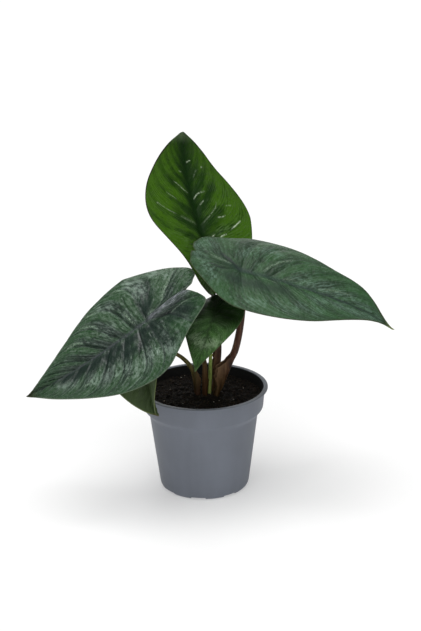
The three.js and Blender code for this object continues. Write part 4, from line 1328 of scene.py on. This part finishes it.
def blade_relief(leaf, grid, w, gap, masks, seed):
    """Height of the fine relief, and how far the ribs stand out below the blade.

    Pillows, ribs, domes and grooves lie beside a midrib in a valley, a rounded crest
    runs over the joined lobes and the margin waves. Veins are low ridges where a leaf's
    groove is negative. Below, the keel tapers to the tip and a bell follows each vein.
    """
    s, t, v, place = (grid[name] for name in ("s", "t", "v", "place"))
    side = np.where(grid["x"] >= 0, 0.0, RIGHT_HALF_SHIFT)
    off = np.abs(w - np.round(w)) * gap
    clear = 1 - (1 - smooth(2.0, 9.0, v)) * smooth(-0.02, 0.05, -place)
    taper = 1 - 0.6 * np.clip(place, 0, None)
    valley = -leaf["valley"][0] * bell(v, leaf["valley"][1]) * smooth(-0.12, 0.02, place)
    midrib = 0.55 * bell(v, 1.25 * (1.1 - 0.6 * np.clip(place, 0, 1))) - 0.3 * bell(v, 2.6)
    rise = smooth(0, CREST_START, -place)
    crest = leaf["crest"] * rise * (bell(v, CREST_WIDTH) - 0.45 * bell(v - 6, 2.2))
    wave = leaf["wave"] * t**3 * np.sin(MARGIN_WAVES * np.pi * s) * np.sin(np.pi * s)
    strokes = 0.3 * masks["pale"] - 0.15 * masks["dark"]
    small = small_height(leaf, grid, w, side, off, clear, seed) * (1 - masks["shade"])
    relief = pillow_height(leaf, grid, w, side, seed) + small + (valley + midrib) * taper
    ends = smooth(0.0, 0.03, s) * smooth(0.0, 0.03, 1 - s)
    keel = 1.1 * bell(v, 1.7) * (1 - KEEL_TAPER * s)
    below = keel + 0.4 * bell(off, 0.8) * (1 - t) * smooth(0.0, 0.05, t)
    return (relief + crest + strokes) * ends + wave, below * ends


def blade_mesh(name, leaf, thickness, seed):
    """Closed blade: upper and lower faces offset along the normals, round at the margin."""
    grid = blade_grid(leaf)
    w, gap = vein_places(leaf, grid)
    masks = stroke_masks(name.removeprefix("leaf_"), leaf, grid)
    relief, below = blade_relief(leaf, grid, w, gap, masks, seed)
    middle = grid["points"]
    normal = np.cross(np.gradient(middle, axis=1), np.gradient(middle, axis=0))
    normal = normal / np.maximum(np.linalg.norm(normal, axis=-1, keepdims=True), 1e-9)
    middle = middle + normal * relief[..., None]
    half = 0.5 * thickness
    upper = middle + normal * half
    lower = middle - normal * (half + below[..., None])
    rims = []
    for column, inner, arc in ((-1, -2, (45, 0, -45)), (0, 1, (-45, 0, 45))):
        out = middle[:, column] - middle[:, inner]
        out = out / np.maximum(np.linalg.norm(out, axis=-1, keepdims=True), 1e-9)
        turns = [(math.cos(a), math.sin(a)) for a in np.radians(arc)]
        bulge = [half * (c * out + d * normal[:, column]) for c, d in turns]
        rims.append(np.stack([middle[:, column] + b for b in bulge], 1))
    rings = np.concatenate([upper, rims[0], lower[:, ::-1], rims[1]], 1) * MM
    notch, tip = blade_ends(leaf)
    mesh = tube_mesh(name, rings, notch * MM, tip * MM)

    def around(field):
        """The field's value at each vertex of the closed mesh."""
        edges = [np.broadcast_to(part, (len(field), 3)) for part in (field[:, -1:], field[:, :1])]
        ring = np.concatenate([field, edges[0], field[:, ::-1], edges[1]], 1).ravel()
        return np.concatenate([ring[:1], ring, ring[-1:]])

    columns = grid["v"].shape[1]
    under = np.zeros((len(w), 2 * columns + 6))
    under[:, columns + 3 : 2 * columns + 3] = 1
    from_rim = np.abs(grid["reach"]) - grid["v"]
    crest = bell(grid["v"], CREST_WIDTH) * smooth(0.0, 0.05, -grid["place"])
    mark(
        mesh,
        vein_place=around(w),
        across=around(grid["x"]),
        from_rib=around(grid["v"]),
        from_rim=around(from_rim),
        tipward=around(grid["q"]),
        crest=around(crest),
        **{kind: around(mask) for kind, mask in masks.items()},
        under=np.concatenate([[0], under.ravel(), [0]]),
    )
    return mesh


def blade_ends(leaf):
    """Positions of the notch and the tip on the blade's middle surface."""
    tipward, leftward, upper = leaf_axes(leaf)
    ends = []
    for q in (VEIN_ROWS[0][0] * leaf["notch"], VEIN_ROWS[-1][0]):
        ahead, below, _ = midrib_curve(leaf, np.array(q))
        bow = leaf["length"] * (leaf["sickle"] * q * abs(q) + leaf["lobe_bow"] * min(q, 0) ** 2)
        spot = tipward * ahead * leaf["length"] - upper * below * leaf["length"] + leftward * bow
        ends.append(np.array(leaf["junction"]) + spot)
    return ends


class ALOCASIA_OT_blades(Operator):
    """Leaf blades with quilted halves, veins, midrib keel and rounded margin"""

    bl_idname = "alocasia.blades"
    bl_label = "Leaf blades"

    def execute(self, context):
        settings = context.scene.alocasia
        groups = {"veins": vein_group(), "skin": skin_group()}
        for seed, (name, leaf) in enumerate(LEAVES.items(), 31):
            piece = f"leaf_{name}"
            mesh = blade_mesh(piece, leaf, settings.leaves.thickness / MM, 3 * seed)
            colours = getattr(settings, f"{name}_leaf")
            finish = leaf_material(name.title(), colours, LEAF_LOOKS[name], groups)
            add_piece(piece, mesh, LEAF_SLOTS[name], [f"blade_{name}"], finish)
        return {"FINISHED"}


# Petioles
def petiole_section(radius, reach, opening, edge):
    """Closed outline of a petiole: a circle that opens into a channel with two margins.

    Twelve corners are blended from the circle to the channel, and a closed Catmull-Rom
    curve runs through them. Arrays hold one value a ring.
    """
    turn = np.radians(np.concatenate([[90, 135, 180, 225, 270], -67.5 + 22.5 * np.arange(7)]))
    circle = radius[:, None, None] * np.stack([np.cos(turn), np.sin(turn)], -1)
    one = np.ones_like(radius)
    wing = np.stack([
        np.stack([reach, -radius], -1),
        np.stack([reach - 0.2, edge - radius], -1),
        np.stack([0.2 * radius, -0.55 * radius], -1),
        np.stack([0 * one, 0 * one], -1),
        np.stack([0.2 * radius, 0.55 * radius], -1),
        np.stack([reach - 0.2, radius - edge], -1),
        np.stack([reach, radius], -1),
    ], 1)
    channel = np.concatenate([circle[:, :5], wing], 1)
    corners = circle + opening[:, None, None] * (channel - circle)
    looped = np.concatenate([corners[:, -1:], corners, corners[:, :2]], 1)
    steps = PETIOLE_SIDES // 12
    u = (np.arange(steps) / steps)[None, None, :, None]
    p0, p1, p2, p3 = (looped[:, k : k + 12, None] for k in range(4))
    curve = p1 + 0.5 * u * (p2 - p0 + u * (2 * p0 - 5 * p1 + 4 * p2 - p3 + u * (3 * (p1 - p2) + p3 - p0)))
    return curve.reshape(len(radius), -1, 2)


def petiole_mesh(name, leaf, petiole, edge):
    """Petiole carried along its route, with each ring square to the route.

    The top ring is cut to the blade's underside, and the petiole widens a little into it.
    """
    tipward, _, upper = leaf_axes(leaf)
    junction = np.array(leaf["junction"])
    approach = upper + leaf["lean"] * tipward
    approach = approach / np.linalg.norm(approach)
    seat = junction - (leaf["valley"][0] + 0.6) * upper
    x, y = petiole["foot"]
    route = [(x, y, STEM_FOOT), (x, y, (STEM_FOOT + SOIL_LINE) / 2), (x, y, SOIL_LINE)]
    route += [*petiole["route"], seat - NECK_LENGTH * approach, seat]
    t = np.linspace(0, 1, PETIOLE_RINGS)
    centre = spline(route, t, mirrored=True)
    along = np.gradient(centre, axis=0)
    along = along / np.linalg.norm(along, axis=-1, keepdims=True)
    open_way = np.array([*petiole["open"], 0.0])
    first = open_way - along * (along @ open_way)[:, None]
    first = first / np.linalg.norm(first, axis=-1, keepdims=True)
    second = np.cross(along, first)
    z = centre[:, 2]
    rise = smooth(SOIL_LINE, petiole["peak"], z)
    fall = 1 - smooth(petiole["peak"], petiole["end"], z)
    opening = np.minimum(rise, fall) * (petiole["reach"] > 0)
    radius = np.interp(t, np.linspace(0, 1, len(petiole["girth"])), petiole["girth"])
    radius = radius * (1 + 0.35 * smooth(0.97, 1.0, t))
    ripple = 1 + 0.1 * np.sin(0.55 * z) + 0.06 * np.sin(1.3 * z + 1)
    section = petiole_section(radius, petiole["reach"] * ripple, opening, edge)
    rings = centre[:, None] + first[:, None] * section[..., :1] + second[:, None] * section[..., 1:]
    over = (rings[-1] - seat) @ upper
    rings[-1] -= along[-1] * (over / (along[-1] @ upper))[:, None]
    mesh = tube_mesh(name, rings * MM, rings[0].mean(0) * MM, rings[-1].mean(0) * MM)
    corner = np.arange(PETIOLE_SIDES) * 12 / PETIOLE_SIDES
    wings = bell(corner - 5.5, 0.8) + bell(corner - 10.5, 0.8)
    pale = opening[:, None] * wings[None]
    up = np.broadcast_to(t[:, None], pale.shape)
    mark(
        mesh,
        edge=np.concatenate([[0], pale.ravel(), [0]]),
        up=np.concatenate([[0], up.ravel(), [1]]),
    )
    return mesh


class ALOCASIA_OT_petioles(Operator):
    """Petioles with sheathing bases"""

    bl_idname = "alocasia.petioles"
    bl_label = "Petioles"

    def execute(self, context):
        settings = context.scene.alocasia
        for name, petiole in PETIOLES.items():
            piece = f"stalk_{name}"
            edge = settings.leaves.sheath_edge / MM
            mesh = petiole_mesh(piece, LEAVES[name], petiole, edge)
            finish = petiole_material(name.title(), getattr(settings, f"{name}_petiole"))
            add_piece(piece, mesh, PETIOLE_SLOTS[name], [f"petiole_{name}"], finish)
        return {"FINISHED"}


# Stage
def add_light(name, power, spread, towards):
    """Distant soft light: power per square metre from a round patch of sky, spread wide."""
    lamp = bpy.data.lights.new(name, "SUN")
    lamp.energy = power
    lamp.angle = math.radians(spread)
    holder = bpy.data.objects.new(name, lamp)
    bpy.context.scene.collection.objects.link(holder)
    holder.rotation_euler = Vector(towards).to_track_quat("-Z", "Y").to_euler()


def add_floor(settings):
    """Round pale floor with a faint glow: a fan of triangles round its middle."""
    turn = np.linspace(0, 2 * np.pi, 96, endpoint=False)
    ring = np.stack([np.cos(turn), np.sin(turn), 0 * turn], -1) * settings.floor_radius
    points = np.vstack([[(0, 0, 0)], ring])
    mesh = solid_mesh("floor", points, np.zeros((0, 4), int), fan_faces(0, 1, len(ring)))
    floor = bpy.data.objects.new("floor", mesh)
    bpy.context.scene.collection.objects.link(floor)
    material, s = new_material("Pale floor")
    cloud = s.noise(s.position(), 3.0, 2.0)
    low = tuple(0.985 * channel for channel in settings.floor_colour)
    s.finish({
        "Base Color": s.mix(cloud, low, settings.floor_colour),
        "Roughness": 0.9,
        "Specular IOR Level": 0.1,
        "Emission Color": (1, 1, 1),
        "Emission Strength": settings.floor_glow,
    })
    mesh.materials.append(material)


def add_surroundings(settings):
    """Even light from all round."""
    world = bpy.data.worlds.new("Studio")
    bpy.context.scene.world = world
    world.use_nodes = True
    inputs = world.node_tree.nodes["Background"].inputs
    inputs["Color"].default_value = (*settings.world_colour, 1)
    inputs["Strength"].default_value = settings.world_strength


def add_camera(settings):
    """Camera that looks at its target from the front, raised by its elevation and rolled."""
    lift, roll = settings.elevation, settings.roll
    back = Vector((0, -math.cos(lift), math.sin(lift)))
    right = Vector((1, 0, 0))
    up = back.cross(right)
    side = right * math.cos(roll) + up * math.sin(roll)
    top = up * math.cos(roll) - right * math.sin(roll)
    lens = bpy.data.cameras.new("camera")
    lens.sensor_width = 36.0
    lens.lens = settings.lens
    lens.clip_end = 50.0
    camera = bpy.data.objects.new("camera", lens)
    bpy.context.scene.collection.objects.link(camera)
    turn = Matrix((side, top, back)).transposed().to_4x4()
    camera.matrix_world = Matrix.Translation(Vector(settings.target) + back * settings.distance) @ turn
    bpy.context.scene.camera = camera


class ALOCASIA_OT_stage(Operator):
    """Pale floor, soft lights and the camera"""

    bl_idname = "alocasia.stage"
    bl_label = "Stage"

    def execute(self, context):
        settings = context.scene.alocasia.stage
        add_floor(settings)
        add_light("key", settings.key_power, spread=45, towards=(0.05, 0.1, -1.0))
        add_light("fill", settings.fill_power, spread=60, towards=(0.0, 1.0, -0.45))
        add_light("back", settings.back_power, spread=40, towards=(0.0, -1.0, -0.35))
        add_surroundings(settings)
        add_camera(settings)
        context.scene.view_settings.view_transform = "Standard"
        return {"FINISHED"}


# Settings
def colour(name, description, value):
    """Colour setting, as linear red, green and blue."""
    return FloatVectorProperty(
        name=name, description=description, subtype="COLOR", size=3, min=0, max=1, default=value
    )


def length(name, description, value, high=1.0):
    """Length setting in metres, from 0 to high."""
    return FloatProperty(
        name=name, description=description, unit="LENGTH", min=0, max=high, default=value
    )


COLOUR_WORDS = {
    "blade": ("Blade", "Main green of the upper face"),
    "light": ("Light", "Paler green of streaks and of the zone along the margin"),
    # Painted sheen: grey-white colour that stands for reflected light
    "dust": ("Sheen", "Greyish sheen on the raised places"),
    "rib": ("Midrib", "Band along the midrib"),
    "shade": ("Shade", "Deep smooth places of the upper face"),
    "keel": ("Keel", "Midrib and veins of the lower face"),
    # The crest colour is a painted highlight along the rib over the joined lobes
    "crest": ("Crest", "Rounded rib over the joined lobes"),
    "rim": ("Margin", "Thin line round the margin"),
    "under": ("Underside", "Lower face"),
    "skin": ("Skin", "Upper part of the petiole"),
    "foot": ("Foot", "Lower part of the petiole"),
    "edge": ("Sheath edge", "Free margins of the sheath"),
    "streak": ("Streaks", "Dark lengthwise streaks of the petiole"),
}


def colour_settings(title, values):
    """Property group with one colour for each name in values."""
    notes = {key: colour(*COLOUR_WORDS[key], value) for key, value in values.items()}
    return type(f"ALOCASIA_PG_{title}", (PropertyGroup,), {"__annotations__": notes})


class ALOCASIA_PG_pot(PropertyGroup):
    rim_radius: length("Rim radius", "Outside of the lip", RIM_RADIUS * MM)
    height: length("Height", "From the floor to the lip", POT_HEIGHT * MM)
    colour: colour("Plastic", "Outside of the pot", (0.15, 0.166, 0.198))
    inside_colour: colour("Inner wall", "Inside of the pot", (0.012, 0.012, 0.012))


class ALOCASIA_PG_soil(PropertyGroup):
    crumbs: IntProperty(name="Crumbs", description="Loose lumps of peat", default=2600, min=0)
    grains: IntProperty(name="Grains", description="Pale grains", default=20, min=0)
    dark: colour("Dark peat", "Moist peat", (0.0035, 0.0028, 0.0022))
    light: colour("Light peat", "Drier peat", (0.012, 0.008, 0.005))
    crumb: colour("Crumbs", "Lightest crumbs", (0.028, 0.018, 0.011))
    grain_dark: colour("Grain shade", "Stained side of the pale grains", (0.2, 0.16, 0.12))
    grain: colour("Grains", "Clean side of the pale grains", (0.7, 0.68, 0.64))


class ALOCASIA_PG_leaves(PropertyGroup):
    thickness: length("Thickness", "Blade between its veins", 0.5 * MM, 0.002)
    sheath_edge: length("Sheath edge", "Free margins of the sheath", 0.5 * MM, 0.002)


class ALOCASIA_PG_stage(PropertyGroup):
    floor_radius: length("Floor radius", "Round floor under the pot", 8.0, 50.0)
    floor_colour: colour("Floor", "Pale floor", (0.62, 0.62, 0.62))
    floor_glow: FloatProperty(name="Floor glow", description="Light of the floor", default=0.36, min=0)
    world_colour: colour("Surroundings", "Light from all round", (1.0, 1.0, 1.0))
    world_strength: FloatProperty(name="Surroundings", description="Strength", default=0.2, min=0)
    key_power: FloatProperty(name="Key", description="Light from above", default=2.4, min=0)
    fill_power: FloatProperty(name="Fill", description="Light from the front", default=0.8, min=0)
    back_power: FloatProperty(name="Back", description="Light from behind", default=0.6, min=0)
    distance: length("Camera distance", "From the camera to its target", 1.5, 20.0)
    elevation: FloatProperty(
        name="Elevation", description="Camera above the level", subtype="ANGLE",
        default=math.radians(19.4),
    )
    roll: FloatProperty(
        name="Roll", description="Camera about its own axis", subtype="ANGLE",
        default=math.radians(-0.8),
    )
    lens: FloatProperty(name="Lens", description="Focal length in millimetres", default=93.4, min=1)
    target: FloatVectorProperty(
        name="Target", description="Point at the middle of the picture", subtype="TRANSLATION",
        default=(0.0076, 0.0, 0.1672),
    )


LEAF_GROUPS = {name: colour_settings(f"{name}_leaf", values) for name, values in LEAF_COLOURS.items()}
PETIOLE_GROUPS = {
    name: colour_settings(f"{name}_petiole", values) for name, values in PETIOLE_COLOURS.items()
}


class ALOCASIA_PG_plant(PropertyGroup):
    pot: PointerProperty(type=ALOCASIA_PG_pot)
    soil: PointerProperty(type=ALOCASIA_PG_soil)
    leaves: PointerProperty(type=ALOCASIA_PG_leaves)
    stage: PointerProperty(type=ALOCASIA_PG_stage)
    __annotations__.update({f"{k}_leaf": PointerProperty(type=v) for k, v in LEAF_GROUPS.items()})
    __annotations__.update({f"{k}_petiole": PointerProperty(type=v) for k, v in PETIOLE_GROUPS.items()})


OPERATORS = (
    ALOCASIA_OT_stage,
    ALOCASIA_OT_pot,
    ALOCASIA_OT_soil,
    ALOCASIA_OT_rootstock,
    ALOCASIA_OT_petioles,
    ALOCASIA_OT_blades,
)


class ALOCASIA_PT_panel(Panel):
    """Lists the steps and the settings"""

    bl_idname = "ALOCASIA_PT_panel"
    bl_label = "Potted Alocasia"
    bl_space_type = "VIEW_3D"
    bl_region_type = "UI"
    bl_category = "Alocasia"

    def draw(self, context):
        for step in OPERATORS:
            self.layout.operator(step.bl_idname)
        for name in ALOCASIA_PG_plant.__annotations__:
            box = self.layout.box()
            box.label(text=name.replace("_", " ").title())
            group = getattr(context.scene.alocasia, name)
            for value in type(group).__annotations__:
                box.prop(group, value)


CLASSES = (
    ALOCASIA_PG_pot,
    ALOCASIA_PG_soil,
    ALOCASIA_PG_leaves,
    ALOCASIA_PG_stage,
    *LEAF_GROUPS.values(),
    *PETIOLE_GROUPS.values(),
    ALOCASIA_PG_plant,
    *OPERATORS,
    ALOCASIA_PT_panel,
)


def register():
    for item in CLASSES:
        bpy.utils.register_class(item)
    bpy.types.Scene.alocasia = PointerProperty(type=ALOCASIA_PG_plant)


def unregister():
    del bpy.types.Scene.alocasia
    for item in reversed(CLASSES):
        bpy.utils.unregister_class(item)


def main():
    """Registers the add-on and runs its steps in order."""
    register()
    for step in OPERATORS:
        group, name = step.bl_idname.split(".")
        getattr(getattr(bpy.ops, group), name)()


if __name__ == "__main__":
    main()
